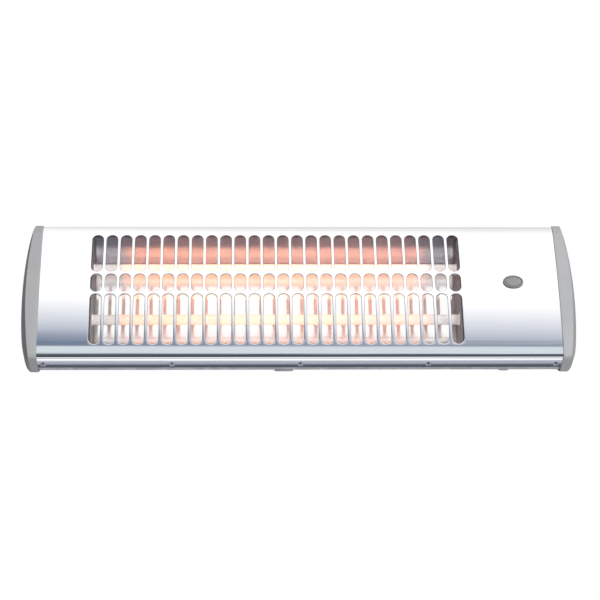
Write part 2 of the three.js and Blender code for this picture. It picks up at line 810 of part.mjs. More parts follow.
function glandSolid() {
  const flange = alongZ(oval(glandWidth, glandHeight, 6), -glandProud, -gap);
  const neck = alongZ(oval(glandNeck[0], glandNeck[1], 6), -glandProud / 2, sheet + gap + glandCollar);
  const bore = alongZ(oval(glandBore[0], glandBore[1], 6), -glandProud - 1,
    sheet + gap + glandCollar + 1);
  return cut(join([flange, neck]), [bore]);
}

put('cable_gland', glandSolid(), capGrey, glandFrame);

// ---- Terminal block, thermal cut-out and wires ----

function blockSolid() {
  const [width, depth, height] = blockSize;
  const [middleX, middleZ] = blockAt;
  const back = panelInside - gap;
  const body = box([middleX - width / 2, back - depth, middleZ - height / 2],
    [middleX + width / 2, back, middleZ + height / 2]);
  const wells = [];
  for (let way = 0; way < blockWays; way += 1) {
    const place = middleX + (way - (blockWays - 1) / 2) * width / blockWays;
    for (const up of [-height / 4, height / 4]) {
      wells.push(turnedY(rod(blockWell, back - depth - 1, back - depth / 2), 6)
        .translate(place, 0, middleZ + up));
    }
  }
  return cut(body, wells);
}

put('terminal_block', blockSolid(), whitePlastic);
const carrierOutside = slotMiddle + carrierFace + carrierSheet;
const cutoutFace = carrierOutside + gap;
const cutoutEnd = cutoutFace + cutoutLength;
put('thermal_cutout', turnedX([
  [0, cutoutFace], [cutoutRadius, cutoutFace], [cutoutRadius, cutoutEnd - cutoutCap],
  [cutoutCapRadius, cutoutEnd - cutoutCap], [cutoutCapRadius, cutoutEnd], [0, cutoutEnd],
], 16).translate(0, cutoutAt[0], cutoutAt[1]), darkPlastic);

function wire(name, points, steps) {
  const section = new THREE.Shape(Array.from({ length: wireSides }, (_, k) => new THREE.Vector2(
    wireRadius * Math.cos(2 * k * Math.PI / wireSides), wireRadius * Math.sin(2 * k * Math.PI / wireSides))));
  const extrudePath = new THREE.CatmullRomCurve3(points.map((point) => new THREE.Vector3(...point)));
  put(name, new THREE.ExtrudeGeometry(section, { steps, extrudePath }), wireSleeve);
}

const leftPin = slotMiddle - carrierFace - pinTail - gap;
const rightPin = slotMiddle + carrierFace + pinTail + gap;
const [upperZ, lowerZ] = tubes.map(([, height]) => height);
const blockLeft = blockAt[0] - blockSize[0] / 2;
const blockFront = panelInside - gap - blockSize[1];
const lampBack = lampFront + lampLength;

const carrierLeft = slotMiddle - carrierFace;
const carrierRight = slotMiddle + carrierFace;
const halfway = (tubeDepth + panelInside) / 2;
const blockMiddle = panelInside - gap - blockSize[1] / 2;

// Straight stretch behind the reflector, through the holes in both carriers
function longRun(height) {
  return [carrierLeft - 10, carrierLeft - 4, carrierLeft + 12, slotMiddle, carrierRight - 12,
    carrierRight + 5].map((x) => [x, wireRun, height]);
}

wire('wire_left_upper', [
  [leftPin, tubeDepth, upperZ], [leftPin - 5, tubeDepth, upperZ], [leftPin - 11, halfway - 10, 34],
  ...longRun(wireRunHeight), [carrierRight + 13, wireRun - 3, 26], [cutoutEnd + 10, cutoutAt[0] + 7, 14],
  [cutoutEnd + 5, cutoutAt[0], cutoutAt[1]], [cutoutEnd + gap, cutoutAt[0], cutoutAt[1]],
], 34);
wire('wire_left_lower', [
  [leftPin, tubeDepth, lowerZ], [leftPin - 5, tubeDepth, lowerZ], [leftPin - 11, halfway - 10, -26],
  ...longRun(-wireRunHeight), [carrierRight + 14, wireRun - 1, -22],
  [blockLeft - 5, blockMiddle, -4], [blockLeft - gap, blockMiddle, -4],
], 34);

const switchTop = new THREE.Vector3(0, 0, switchFloor + switchSize[2] + gap).applyMatrix4(switchFrame.matrix);
const wireEntry = new THREE.Vector3(0, 0, 6).transformDirection(switchFrame.matrix).multiplyScalar(6);

wire('wire_right_upper', [
  [rightPin, tubeDepth, upperZ], [rightPin + 6, tubeDepth, upperZ], [rightPin + 11, tubeDepth, 20],
  [rightPin + 10, tubeDepth + 2, -15],
  [switchTop.x - 3, switchTop.y + wireEntry.y, switchTop.z + wireEntry.z],
  [switchTop.x - 3, switchTop.y, switchTop.z],
], 16);
wire('wire_right_lower', [
  [rightPin, tubeDepth, lowerZ], [rightPin + 5, tubeDepth, lowerZ], [rightPin + 8, halfway - 13, -20],
  [blockLeft + 2, halfway, -5], [blockLeft + 6, blockFront - 6, -3], [blockLeft + 6, blockFront - gap, -3],
], 14);
wire('wire_lamp', [
  [indicatorX, lampBack + gap, indicatorZ], [indicatorX, lampBack + 8, indicatorZ],
  [indicatorX + 4, lampBack + 12, indicatorZ + 3], [indicatorX + 8, blockFront - 8, blockAt[1] + 5],
  [indicatorX + 8, blockFront - gap, blockAt[1] + 5],
], 12);

// ---- Brackets: one riveted to the head, one on the wall, joined at the pivot ----

const earFace = headBracketWidth / 2;
const washerFace = earFace + gap;
const wallEarFace = washerFace + washerThick + gap;
const knobFace = wallEarFace + bracketSheet + gap;

// Ear outline: a round end at the pivot, spreading to a foot
const earSteps = 8;
function earOutline(footDepth, foot) {
  const points = [[footDepth, -foot / 2]];
  const towards = Math.sign(footDepth - pivotDepth);
  for (let step = 0; step <= earSteps; step += 1) {
    const angle = Math.PI * (step / earSteps - 0.5);
    points.push([pivotDepth - towards * earRadius * Math.cos(angle), earRadius * Math.sin(angle)]);
  }
  points.push([footDepth, foot / 2]);
  return points;
}

function bracketSolid(webNear, webFar, halfWidth, height, footDepth, foot, drills) {
  const web = box([-halfWidth, webNear, -height / 2], [halfWidth, webFar, height / 2]);
  const ears = [-1, 1].map((direction) => {
    const outer = direction * halfWidth;
    const inner = direction * (halfWidth - bracketSheet);
    return alongX(earOutline(footDepth, foot), Math.min(outer, inner), Math.max(outer, inner));
  });
  const pivots = turnedX(rod(boltRadius + gap, -halfWidth - 1, halfWidth + 1), 16)
    .translate(0, pivotDepth, 0);
  return cut(join([web, ...ears]), [pivots, ...drills]);
}

const webNear = panelOutside + gap;
const rivetDrills = rivetPlaces.map(([x, z]) => turnedY(
  rod(rivetRadius + gap, webNear - 1, webNear + bracketSheet + 1), 10).translate(x, 0, z));
put('head_bracket', bracketSolid(webNear, webNear + bracketSheet, earFace, headBracketHeight,
  webNear + bracketSheet / 2, headEarFoot, rivetDrills), zincSteel);

rivetPlaces.forEach(([x, z], i) => {
  const inner = panelInside - gap;
  const outer = webNear + bracketSheet + gap;
  put(`bracket_rivet_${i + 1}`, turnedY([
    [0, inner - rivetHeadLength], [rivetHead * 0.7, inner - rivetHeadLength], [rivetHead, inner],
    [rivetRadius, inner], [rivetRadius, outer], [rivetHead, outer],
    [rivetHead * 0.7, outer + rivetHeadLength], [0, outer + rivetHeadLength],
  ], 10).translate(x, 0, z), zincSteel);
});

function keyhole(middle) {
  const round = slot(middle, -keyholeRadius, keyholeRadius, 2 * keyholeRadius, 6);
  const neck = slot(middle, 0, keyholeRise + keyholeSlot, 2 * keyholeSlot, 4);
  const back = wallDepth - bracketSheet - 1;
  return join([alongY(round, back, wallDepth + 1), alongY(neck, back, wallDepth + 1)]);
}

put('wall_bracket', bracketSolid(wallDepth - bracketSheet, wallDepth, wallEarFace + bracketSheet,
  wallBracketHeight, wallDepth - bracketSheet / 2, wallEarFoot,
  [keyhole(-keyholeSpacing / 2), keyhole(keyholeSpacing / 2)]), zincSteel);

function knobSolid() {
  const outline = Array.from({ length: 36 }, (_, i) => {
    const angle = i * Math.PI / 18;
    const radius = knobRadius - knobLobe + knobLobe * Math.cos(knobLobes * angle);
    return [radius * Math.cos(angle), radius * Math.sin(angle)];
  });
  const body = alongX(outline, 0, knobLength);
  const drill = turnedX(rod(boltRadius + gap, -1, knobDrill), 16);
  return cut(body, [drill]);
}

for (const [side, direction] of sides) {
  const turnRound = direction > 0 ? 0 : Math.PI;
  const boltInner = earFace - bracketSheet - gap;
  const bolt = join([
    turnedX(rod(boltHead, boltInner - boltHeadLength, boltInner), 6),
    turnedX(rod(boltRadius, boltInner - boltHeadLength / 2, knobFace + knobDrill - gap), 16),
  ]);
  put(`pivot_bolt_${side}`, bolt.rotateZ(turnRound).translate(0, pivotDepth, 0), zincSteel);
  put(`friction_washer_${side}`, turnedX(ring(boltRadius + gap, washerRadius, washerFace,
    washerFace + washerThick), 20).rotateZ(turnRound).translate(0, pivotDepth, 0), fibre);
  put(`clamp_knob_${side}`, knobSolid().translate(knobFace, 0, 0).rotateZ(turnRound)
    .translate(0, pivotDepth, 0), darkPlastic);
}

heater.updateMatrixWorld(true);
export default heater;
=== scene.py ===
"""Electric bar heater for a wall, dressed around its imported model.

The heater hangs 1.8 m above the floor and is seen from below, as someone standing in the room sees it.
Shapes are worked out in millimetres, with +Z up and the wall at Y = 0, and are made in metres.
"""

import math

import bmesh
import bpy
import numpy as np
from mathutils import Matrix, Vector


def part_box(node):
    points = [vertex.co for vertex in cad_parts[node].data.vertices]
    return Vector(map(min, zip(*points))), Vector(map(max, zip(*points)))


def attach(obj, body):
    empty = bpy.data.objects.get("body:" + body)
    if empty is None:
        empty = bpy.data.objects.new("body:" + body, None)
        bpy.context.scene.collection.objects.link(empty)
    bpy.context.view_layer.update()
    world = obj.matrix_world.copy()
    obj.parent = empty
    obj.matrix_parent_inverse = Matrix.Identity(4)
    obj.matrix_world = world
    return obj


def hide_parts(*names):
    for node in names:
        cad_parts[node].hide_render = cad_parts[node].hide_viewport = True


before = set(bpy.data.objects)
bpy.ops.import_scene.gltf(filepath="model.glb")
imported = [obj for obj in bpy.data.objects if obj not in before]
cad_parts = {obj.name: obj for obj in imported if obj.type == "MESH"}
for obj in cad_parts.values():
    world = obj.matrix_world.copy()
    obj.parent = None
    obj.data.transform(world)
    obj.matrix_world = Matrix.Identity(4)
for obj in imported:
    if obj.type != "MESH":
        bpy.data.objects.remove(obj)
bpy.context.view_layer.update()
MM = 0.001


# ---- Front cover ----
# One folded sheet of polished stainless steel: a bowed front with 78 punched slots between two flat bands,
# and a flange above and below that slips over the housing. Punched flat, then folded on a press brake.

SHEET = 0.8
FRONT_BOW = 4
BAND_HEIGHT = 11
BAND_SLOPE = 0.3
BEND = 3
FLANGE_CROWN = 0.4
SLOT_COLUMNS = 26
SLOT_PITCH = 14.62
SLOT_WIDTH = 11.4
SLOT_MIDDLE = -24.05
SLOT_ROWS = ((-64.2, -8.5), (-5.4, 15.3), (18.6, 64.0))
SLOT_MARGIN = 1.5
PUNCHED_LIP = 0.36
DRAWN_LIP = 1.0
POLISHED_STEPS = 3
SCREW_PLACES = np.arange(-2, 3) * 129.1
SCREW_HOLE = 1.75
SCREW_CELL = 3
INDICATOR_HOLE = np.array([9.8, 6.8])
INDICATOR_CELL = (11, 8)
SIDE_NAMES = (("left", -1), ("right", 1))


def extent(node):
    """Lowest and highest corner of a CAD node, in millimetres."""
    low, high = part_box(node)
    return np.array(low) / MM, np.array(high) / MM


def centre_of(node):
    """Middle of a CAD node, in millimetres."""
    return sum(extent(node)) / 2


def rounded(corners, closed=False, steps=8):
    """Points through corners (a, b, radius): each corner with a radius is an arc that touches both its sides."""
    count = len(corners)
    points = []
    for i, (a, b, radius) in enumerate(corners):
        here = np.array([a, b], float)
        if radius == 0 or (not closed and i in (0, count - 1)):
            points.append(here[None])
            continue
        back = np.array(corners[i - 1][:2], float) - here
        ahead = np.array(corners[(i + 1) % count][:2], float) - here
        back /= np.linalg.norm(back)
        ahead /= np.linalg.norm(ahead)
        half = math.acos(np.clip(back @ ahead, -1, 1)) / 2
        bisector = (back + ahead) / np.linalg.norm(back + ahead)
        centre = here + bisector * radius / math.sin(half)
        start = here + back * radius / math.tan(half) - centre
        end = here + ahead * radius / math.tan(half) - centre
        turn = math.atan2(start[0] * end[1] - start[1] * end[0], start @ end)
        angle = np.linspace(0, turn, steps + 1)
        points.append(centre + np.stack([start[0] * np.cos(angle) - start[1] * np.sin(angle),
                                         start[0] * np.sin(angle) + start[1] * np.cos(angle)], axis=1))
    return np.concatenate(points)


def along(line):
    """Distances of a line's points, and a function for the point at distance s, depth to the line's right."""
    distance = np.concatenate([[0], np.cumsum(np.linalg.norm(np.diff(line, axis=0), axis=1))])
    tangent = np.gradient(line, distance, axis=0)
    tangent /= np.linalg.norm(tangent, axis=1, keepdims=True)
    normal = np.stack([tangent[:, 1], -tangent[:, 0]], axis=1)

    def at(s, depth):
        return [np.interp(s, distance, line[:, i]) + depth * np.interp(s, distance, normal[:, i]) for i in (0, 1)]

    return distance, at


def grid_quads(rows, columns, around=False):
    """Quads between the points of a grid of rows and columns; around joins the last column to the first."""
    index = np.arange(rows * columns).reshape(rows, columns)
    if around:
        index = np.concatenate([index, index[:, :1]], axis=1)
    return np.stack([index[:-1, :-1], index[:-1, 1:], index[1:, 1:], index[1:, :-1]], axis=-1)


def grid_lines(*groups):
    """All the values of some groups as one rising row, equal ones once."""
    return np.unique(np.round(np.concatenate([np.atleast_1d(g) for g in groups]), 3))


def loop_round(xs, ss):
    """The grid points round the edge of a cell, anticlockwise."""
    low, high = np.full(len(xs) - 1, ss[0]), np.full(len(xs) - 1, ss[-1])
    near, far = np.full(len(ss) - 1, xs[0]), np.full(len(ss) - 1, xs[-1])
    return np.stack([np.concatenate([xs[:-1], far, xs[:0:-1], near]),
                     np.concatenate([low, ss[:-1], high, ss[:0:-1]])], axis=1)


def punched_sheet(xs, ss, at, holes, thickness, edge_finish=0, inner_finish=0):
    """Folded sheet along X over a section at(s, depth). A hole (centre x, centre s, half length along x, half
    length along s, radius, half width of its cell, lowest and highest s of its cell) is a set of rings: from
    the cell's edge to the hole, round its lip, through the sheet and out to the cell's edge on the inner face.
    A radius may be a pair, for an oval hole. edge_finish and inner_finish are the numbers of the finishes that
    the cut edges and the inner face wear."""
    def points_at(x, s, depth):
        y, z = at(s, depth)
        return np.stack([x, y, z], axis=-1).reshape(-1, 3)

    xs, ss = np.round(xs, 3), np.round(ss, 3)
    grid_x, grid_s = np.meshgrid(xs, ss, indexing="ij")
    quads = grid_quads(len(xs), len(ss))
    whole = np.ones(quads.shape[:2], bool)
    outer_edge = loop_round(xs, ss)
    rings = [(np.stack([outer_edge, outer_edge])[::-1], np.array([0, thickness])[::-1])]
    quarter = np.linspace(0, math.pi / 2, 6)
    for x, s, half_x, half_s, radius, cell_x, cell_s in holes:
        low_x, high_x, low_s, high_s = np.round([x - cell_x, x + cell_x, *cell_s], 3)
        inside_x = (xs > low_x - 1e-6) & (xs < high_x + 1e-6)
        inside_s = (ss > low_s - 1e-6) & (ss < high_s + 1e-6)
        first_x, first_s = np.argmax(inside_x), np.argmax(inside_s)
        whole[first_x:first_x + inside_x.sum() - 1, first_s:first_s + inside_s.sum() - 1] = False
        edge = loop_round(xs[inside_x], ss[inside_s])
        core = np.clip(edge, [x - half_x, s - half_s], [x + half_x, s + half_s])
        outward = edge - core
        outward /= np.linalg.norm(outward, axis=1, keepdims=True)
        lip_out = np.concatenate([DRAWN_LIP * (1 - np.sin(quarter)), PUNCHED_LIP * (1 - np.cos(quarter))])
        lip_depth = np.concatenate([PUNCHED_LIP * (1 - np.cos(quarter)),
                                    thickness - PUNCHED_LIP * (1 - np.sin(quarter))])
        lips = core + outward * (radius + lip_out[:, None, None])
        rings.append((np.concatenate([edge[None], lips, edge[None]]),
                      np.concatenate([[0], lip_depth, [thickness]])))
    sheet_quads = quads[whole]
    patches = [(points_at(grid_x, grid_s, 0), sheet_quads),
               (points_at(grid_x, grid_s, thickness), sheet_quads[:, ::-1], inner_finish)]
    for ring, depth in rings:
        depths = np.broadcast_to(depth[:, None], ring.shape[:2])
        around = grid_quads(*ring.shape[:2], around=True)
        points = points_at(ring[..., 0], ring[..., 1], depths)
        if len(around) == 1:
            patches.append((points, around[0]))
            continue
        patches.append((points, around[:POLISHED_STEPS].reshape(-1, 4)))
        patches.append((points, around[POLISHED_STEPS:-1].reshape(-1, 4), edge_finish))
        patches.append((points, around[-1], inner_finish))
    return patches


def make_piece(name, patches, finish, body, stands_for, sharp=35):
    """One mesh object from patches of points in millimetres and their faces, welded where they meet. A patch may
    add the number of its finish, where finish is a list."""
    points, faces, wears, count = [], [], [], 0
    for patch_points, patch_faces, *number in patches:
        points.append(np.asarray(patch_points, float).reshape(-1, 3) * MM)
        faces += (np.asarray(patch_faces).reshape(-1, np.shape(patch_faces)[-1]) + count).tolist()
        wears += (number or [0]) * (len(faces) - len(wears))
        count += len(points[-1])
    mesh = bpy.data.meshes.new(name)
    mesh.from_pydata(np.concatenate(points), [], faces)
    mesh.polygons.foreach_set("material_index", wears)
    work = bmesh.new()
    work.from_mesh(mesh)
    bmesh.ops.remove_doubles(work, verts=work.verts, dist=2e-6)
    bmesh.ops.recalc_face_normals(work, faces=work.faces)
    work.to_mesh(mesh)
    work.free()
    mesh.shade_smooth()
    mesh.set_sharp_from_angle(angle=math.radians(sharp))
    piece = bpy.data.objects.new(name, mesh)
    bpy.context.scene.collection.objects.link(piece)
    return dress(piece, finish, body, stands_for)


def dress(piece, finish, body, stands_for):
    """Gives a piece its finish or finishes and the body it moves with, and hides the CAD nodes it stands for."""
    faces_wear = np.zeros(len(piece.data.polygons), int)
    piece.data.polygons.foreach_get("material_index", faces_wear)
    piece.data.materials.clear()
    for material in finish if isinstance(finish, list) else [finish]:
        piece.data.materials.append(material)
    piece.data.polygons.foreach_set("material_index", faces_wear)
    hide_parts(*stands_for)
    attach(piece, body)
    return piece


def new_finish(name, color, roughness, metallic=0.0):
    """A material with a Principled shader, its constants on the shader's own sockets."""
    material = bpy.data.materials.new(name)
    material.use_nodes = True
    shader = material.node_tree.nodes["Principled BSDF"]
    shader.inputs["Base Color"].default_value = (*color, 1)
    shader.inputs["Roughness"].default_value = roughness
    shader.inputs["Metallic"].default_value = metallic
    return material, material.node_tree, shader


def feed(tree, target, value):
    """Gives an input its value: a socket is linked to it, and a colour gets its alpha."""
    if isinstance(value, bpy.types.NodeSocket):
        tree.links.new(value, target)
    else:
        target.default_value = (*value, 1) if np.ndim(value) else value


def node(tree, kind, *sources, **settings):
    """Adds a node with sources for its first inputs, in order. Settings name its properties, and its inputs where
    a name starts with in_."""
    made = tree.nodes.new(f"ShaderNode{kind}")
    for key, value in settings.items():
        if key.startswith("in_"):
            feed(tree, made.inputs[key[3:].replace("_", " ")], value)
        else:
            setattr(made, key, value)
    for target, source in zip(made.inputs, sources):
        feed(tree, target, source)
    return made


def result(tree, kind, *sources, **settings):
    """The first output of such a node."""
    return node(tree, kind, *sources, **settings).outputs[0]


def reckon(tree, operation, *sources):
    """A calculation on sockets and numbers."""
    return result(tree, "Math", *sources, operation=operation)


def new_effect(name, **inputs):
    """An empty node group with a Vector input and number inputs with default values, and those inputs."""
    effect = bpy.data.node_groups.new(name, "ShaderNodeTree")
    effect.interface.new_socket("Vector", in_out="INPUT", socket_type="NodeSocketVector")
    for label, value in inputs.items():
        effect.interface.new_socket(label, in_out="INPUT", socket_type="NodeSocketFloat").default_value = value
    return effect, effect.nodes.new("NodeGroupInput").outputs


def give(effect, **results):
    """Adds a node group's number outputs and what they give."""
    for label in results:
        effect.interface.new_socket(label, in_out="OUTPUT", socket_type="NodeSocketFloat")
    given_out = effect.nodes.new("NodeGroupOutput")
    for label, socket in results.items():
        effect.links.new(socket, given_out.inputs[label])


def own_place(tree):
    """The Object coordinates of a material."""
    return (tree.nodes.get("Where") or node(tree, "TexCoord", name="Where")).outputs["Object"]


def use_effect(tree, effect, **values):
    """Places a node group on Object coordinates with its own values, for its outputs."""
    placed = tree.nodes.new("ShaderNodeGroup")
    placed.node_tree = effect
    feed(tree, placed.inputs["Vector"], own_place(tree))
    for label, value in values.items():
        placed.inputs[label].default_value = value
    return placed.outputs


def spread(tree, mask, low, high):
    """A mask from 0 to 1 as a value from low to high."""
    return result(tree, "MapRange", mask, in_To_Min=low, in_To_Max=high)


def tinted(tree, mask, first, second):
    """A mask from 0 to 1 as a colour between two colours."""
    mixed = node(tree, "Mix", mask, data_type="RGBA")
    feed(tree, mixed.inputs[6], first)
    feed(tree, mixed.inputs[7], second)
    return mixed.outputs[2]


def color_ramp(tree, factor, stops):
    """A colour ramp over factor from stops (place, colour)."""
    ramp = node(tree, "ValToRGB", factor)
    elements = ramp.color_ramp.elements
    while len(elements) < len(stops):
        elements.new(0.5)
    for element, (place, color) in zip(elements, sorted(stops)):
        element.position = place
    for element, (place, color) in zip(elements, sorted(stops)):
        element.color = (*color, 1)
    return ramp.outputs["Color"]


def vary(tree, shader, masks, tones=None, rough=None, relief=None, strength=1.0):
    """The first of some masks sets a shader's colour between two tones, its roughness between two values, and a
    bump as high as relief, in metres."""
    if tones:
        feed(tree, shader.inputs["Base Color"], tinted(tree, masks[0], *tones))
    if rough:
        feed(tree, shader.inputs["Roughness"], spread(tree, masks[0], *rough))
    if relief:
        feed(tree, shader.inputs["Normal"], result(tree, "Bump", in_Height=masks[0], in_Strength=strength,
                                                   in_Distance=relief))


# Rolling lines: noise drawn out along X, fine across it
rolling, given = new_effect("rolling_lines", Along=20, Across=2500)
fineness = result(rolling, "CombineXYZ", given["Along"], given["Across"], given["Across"])
drawn_out = result(rolling, "VectorMath", given["Vector"], fineness, operation="MULTIPLY")
give(rolling, Lines=result(rolling, "TexNoise", drawn_out, in_Scale=1.0, in_Detail=3.0))

# Handling marks: large soft clouds where a surface was wiped or touched
marks, given = new_effect("handling_marks", Scale=30)
wiped = result(marks, "TexNoise", given["Vector"], in_Scale=given["Scale"], in_Detail=4.0, in_Roughness=0.6,
               in_Distortion=0.6)
give(marks, Marks=result(marks, "MapRange", wiped, in_From_Min=0.35, in_From_Max=0.65))

polished_steel, tree, shader = new_finish("polished_steel", (0.95, 0.955, 0.96), 0.1, 1.0)
vary(tree, shader, use_effect(tree, marks, Scale=18), rough=(0.05, 0.08))
vary(tree, shader, use_effect(tree, rolling, Along=12, Across=1800), relief=0.00001,
     tones=((0.93, 0.935, 0.945), (0.975, 0.975, 0.975)))

# Sheared edge of the sheet: duller than the polished face, and darkened further with painted shade that draws the
# slots' dark outlines
sheared_edge_painted_shade, tree, shader = new_finish("sheared_edge_painted_shade", (0.2, 0.21, 0.23), 0.4, 1.0)
vary(tree, shader, use_effect(tree, rolling, Along=900, Across=900), tones=((0.1, 0.105, 0.12), (0.24, 0.25, 0.27)))

# Mill finish of the sheet's inner face
mill_steel, tree, shader = new_finish("mill_steel", (0.76, 0.74, 0.72), 0.5, 0.15)
vary(tree, shader, use_effect(tree, rolling, Along=8, Across=1600), tones=((0.7, 0.68, 0.67), (0.82, 0.8, 0.79)))

cover_low, cover_high = extent("front_cover")
crease = cover_low[1] + FRONT_BOW
half_height = cover_high[2]
arc_half = half_height - BAND_HEIGHT
arc_radius = (arc_half ** 2 + FRONT_BOW ** 2) / (2 * FRONT_BOW)
band_depth = BAND_HEIGHT * BAND_SLOPE


def front_depth(z):
    """Y of the cover's bowed front at height z."""
    return crease + arc_radius - FRONT_BOW - np.sqrt(arc_radius ** 2 - np.square(z))


arc_z = np.linspace(-arc_half, arc_half, 25)
flange_y = np.linspace(cover_high[1], crease + band_depth + BEND + 1, 20)
flange_share = (flange_y - cover_high[1]) / (flange_y[-1] - cover_high[1])
flange_crown = FLANGE_CROWN * 4 * flange_share * (1 - flange_share)
section = rounded([(y, -half_height - crown, 0) for y, crown in zip(flange_y, flange_crown)]
                  + [(crease + band_depth, -half_height, BEND)]
                  + [(y, z, 0) for y, z in zip(front_depth(arc_z), arc_z)]
                  + [(crease + band_depth, half_height, BEND), (cover_high[1], half_height, 0)])
cover_run, cover_at = along(section)
front = (section[:, 1] > -arc_half - 1) & (section[:, 1] < arc_half + 1)


def run_at_height(z):
    """Distance along the cover's section at height z of its front."""
    return np.round(np.interp(z, section[front, 1], cover_run[front]), 3)


slot_radius = SLOT_WIDTH / 2
indicator_low, indicator_high = extent("indicator_bezel")
indicator_x, _, indicator_z = centre_of("indicator_bezel")
column_middles = SLOT_MIDDLE + (np.arange(SLOT_COLUMNS) - (SLOT_COLUMNS - 1) / 2) * SLOT_PITCH
pattern_left = column_middles[0] - SLOT_PITCH / 2
cover_x = [np.linspace(cover_low[0], pattern_left, 8),
           pattern_left + np.arange(SLOT_COLUMNS * 8 + 1) * SLOT_PITCH / 8,
           indicator_x + np.linspace(-INDICATOR_CELL[0], INDICATOR_CELL[0], 17),
           np.linspace(pattern_left + SLOT_COLUMNS * SLOT_PITCH, cover_high[0], 10)]
cover_s = [cover_run]
cover_holes = []
row_edges = [SLOT_ROWS[0][0] - SLOT_MARGIN, (SLOT_ROWS[0][1] + SLOT_ROWS[1][0]) / 2,
             (SLOT_ROWS[1][1] + SLOT_ROWS[2][0]) / 2, SLOT_ROWS[2][1] + SLOT_MARGIN]
for row, (bottom, top) in enumerate(SLOT_ROWS):
    edges = run_at_height(np.array(row_edges[row:row + 2]))
    ends = run_at_height(np.array([bottom + slot_radius, top - slot_radius]))
    round_steps = slot_radius * np.array([0, 0.3, 0.6, 0.85, 1])
    cover_s += [edges, ends[0] - round_steps, ends[1] + round_steps, np.linspace(*ends, 5)]
    for middle in column_middles:
        cover_holes.append((middle, ends.mean(), 0, np.ptp(ends) / 2, slot_radius, SLOT_PITCH / 2, edges))

indicator_s = run_at_height(indicator_z)
indicator_cell = indicator_s + np.array([-INDICATOR_CELL[1], INDICATOR_CELL[1]])
cover_s.append(np.linspace(*indicator_cell, 13))
cover_holes.append((indicator_x, indicator_s, 0, 0, INDICATOR_HOLE, INDICATOR_CELL[0], indicator_cell))
screw_s = np.round(cover_high[1] - centre_of("cover_screw_1")[1], 3)
screw_lines = np.linspace(-SCREW_CELL, SCREW_CELL, 7)
cover_s.append(screw_s + screw_lines)
for place in SCREW_PLACES:
    cover_x.append(place + screw_lines)
    cover_holes.append((place, screw_s, 0, 0, SCREW_HOLE, SCREW_CELL, screw_s + screw_lines[[0, -1]]))

make_piece("cover", punched_sheet(grid_lines(*cover_x), grid_lines(*cover_s), cover_at, cover_holes, SHEET, 1, 2),
           [polished_steel, sheared_edge_painted_shade, mill_steel], "head", ["front_cover"])


# ---- Rear housing ----
# A pan of galvanised sheet, 0.8 mm thick, folded with two sloping sides; its lips go inside the cover's
# flanges. Twelve vents are punched in the upper slope, and the fixings go through the flat back.

LIP_DEPTH = 33
BACK_HALF = 50
VENT_COUNT = 12
VENT_PITCH = 30
VENT_SIZE = (20, 3.2)
VENT_RISE = 21
VENT_CELL = (13, 3.4)

# Zinc spangle: crystals a few millimetres wide, each with its own tone
spangle, given = new_effect("zinc_spangle", Scale=130)
cells = node(spangle, "TexVoronoi", given["Vector"], in_Scale=given["Scale"], in_Randomness=1.0)
give(spangle, Crystals=result(spangle, "SeparateColor", cells.outputs["Color"]))

galvanised, tree, shader = new_finish("galvanised_steel", (0.6, 0.62, 0.64), 0.4, 0.9)
vary(tree, shader, use_effect(tree, marks, Scale=25), rough=(0.34, 0.5))
vary(tree, shader, use_effect(tree, spangle, Scale=140), relief=0.00002, strength=0.5,
     tones=((0.5, 0.52, 0.54), (0.68, 0.7, 0.72)))

housing_low, housing_high = extent("rear_housing")
lip_height = housing_high[2]
lip_rear = crease + LIP_DEPTH
panel_y = housing_high[1]
slope_angle = math.atan2(lip_height - BACK_HALF, panel_y - lip_rear)
housing_section = rounded([(housing_low[1], -lip_height, 0), (lip_rear, -lip_height, BEND), (panel_y, -BACK_HALF, BEND),
                           (panel_y, BACK_HALF, BEND), (lip_rear, lip_height, BEND), (housing_low[1], lip_height, 0)])
housing_run, housing_at = along(housing_section[::-1])
vent_s = np.round(lip_rear - housing_low[1] + VENT_RISE, 2)
vent_places = SLOT_MIDDLE + (np.arange(VENT_COUNT) - (VENT_COUNT - 1) / 2) * VENT_PITCH
housing_x = [housing_low[0], housing_high[0]]
housing_s = [housing_run, vent_s + np.linspace(-VENT_CELL[1], VENT_CELL[1], 7)]
vents = []
for place in vent_places:
    housing_x.append(place + np.linspace(-VENT_CELL[0], VENT_CELL[0], 17))
    vents.append((place, vent_s, (VENT_SIZE[0] - VENT_SIZE[1]) / 2, 0, VENT_SIZE[1] / 2, VENT_CELL[0],
                  vent_s + np.array([-VENT_CELL[1], VENT_CELL[1]])))
make_piece("housing", punched_sheet(grid_lines(*housing_x), grid_lines(*housing_s), housing_at, vents, SHEET),
           galvanised, "head", ["rear_housing"])


# ---- End caps ----
# Two moulded caps in satin light-grey plastic, 2.2 mm thick. Each slips over an end of the cover, shows a flat
# band in front that is widest at mid height, and domes outwards at the side.

CAP_INNER = 264
CAP_PROUD = 1.4
CAP_BAND = 13.5
CAP_TAPER = 5.3
CAP_WALL = 2.2
CAP_LEDGE = 1.8
CAP_LIP = 0.6
CAP_GAP = 0.3
DOME_POWER = 2.2
DOME_RISE = 1.4
DOME_ROLL = 2.6
DOME_DEPTH = 0.8

# Moulded skin: a fine spark-eroded grain
skin, given = new_effect("moulded_skin", Scale=2600)
give(skin, Grain=result(skin, "TexNoise", given["Vector"], in_Scale=given["Scale"], in_Detail=2.0, in_Roughness=0.6))


def moulded_plastic(name, dark, light, smooth, rough, grain=0.00004):
    """A moulded plastic: two close tones in soft clouds, a roughness range and an eroded grain."""
    material, tree, shader = new_finish(name, dark, smooth)
    vary(tree, shader, use_effect(tree, marks, Scale=22), tones=(dark, light))
    vary(tree, shader, use_effect(tree, skin), rough=(smooth, rough), relief=grain)
    return material


cap_plastic = moulded_plastic("cap_plastic", (0.44, 0.445, 0.46), (0.47, 0.475, 0.49), 0.34, 0.46)
cap_plastic.node_tree.nodes["Principled BSDF"].inputs["Specular IOR Level"].default_value = 0.2

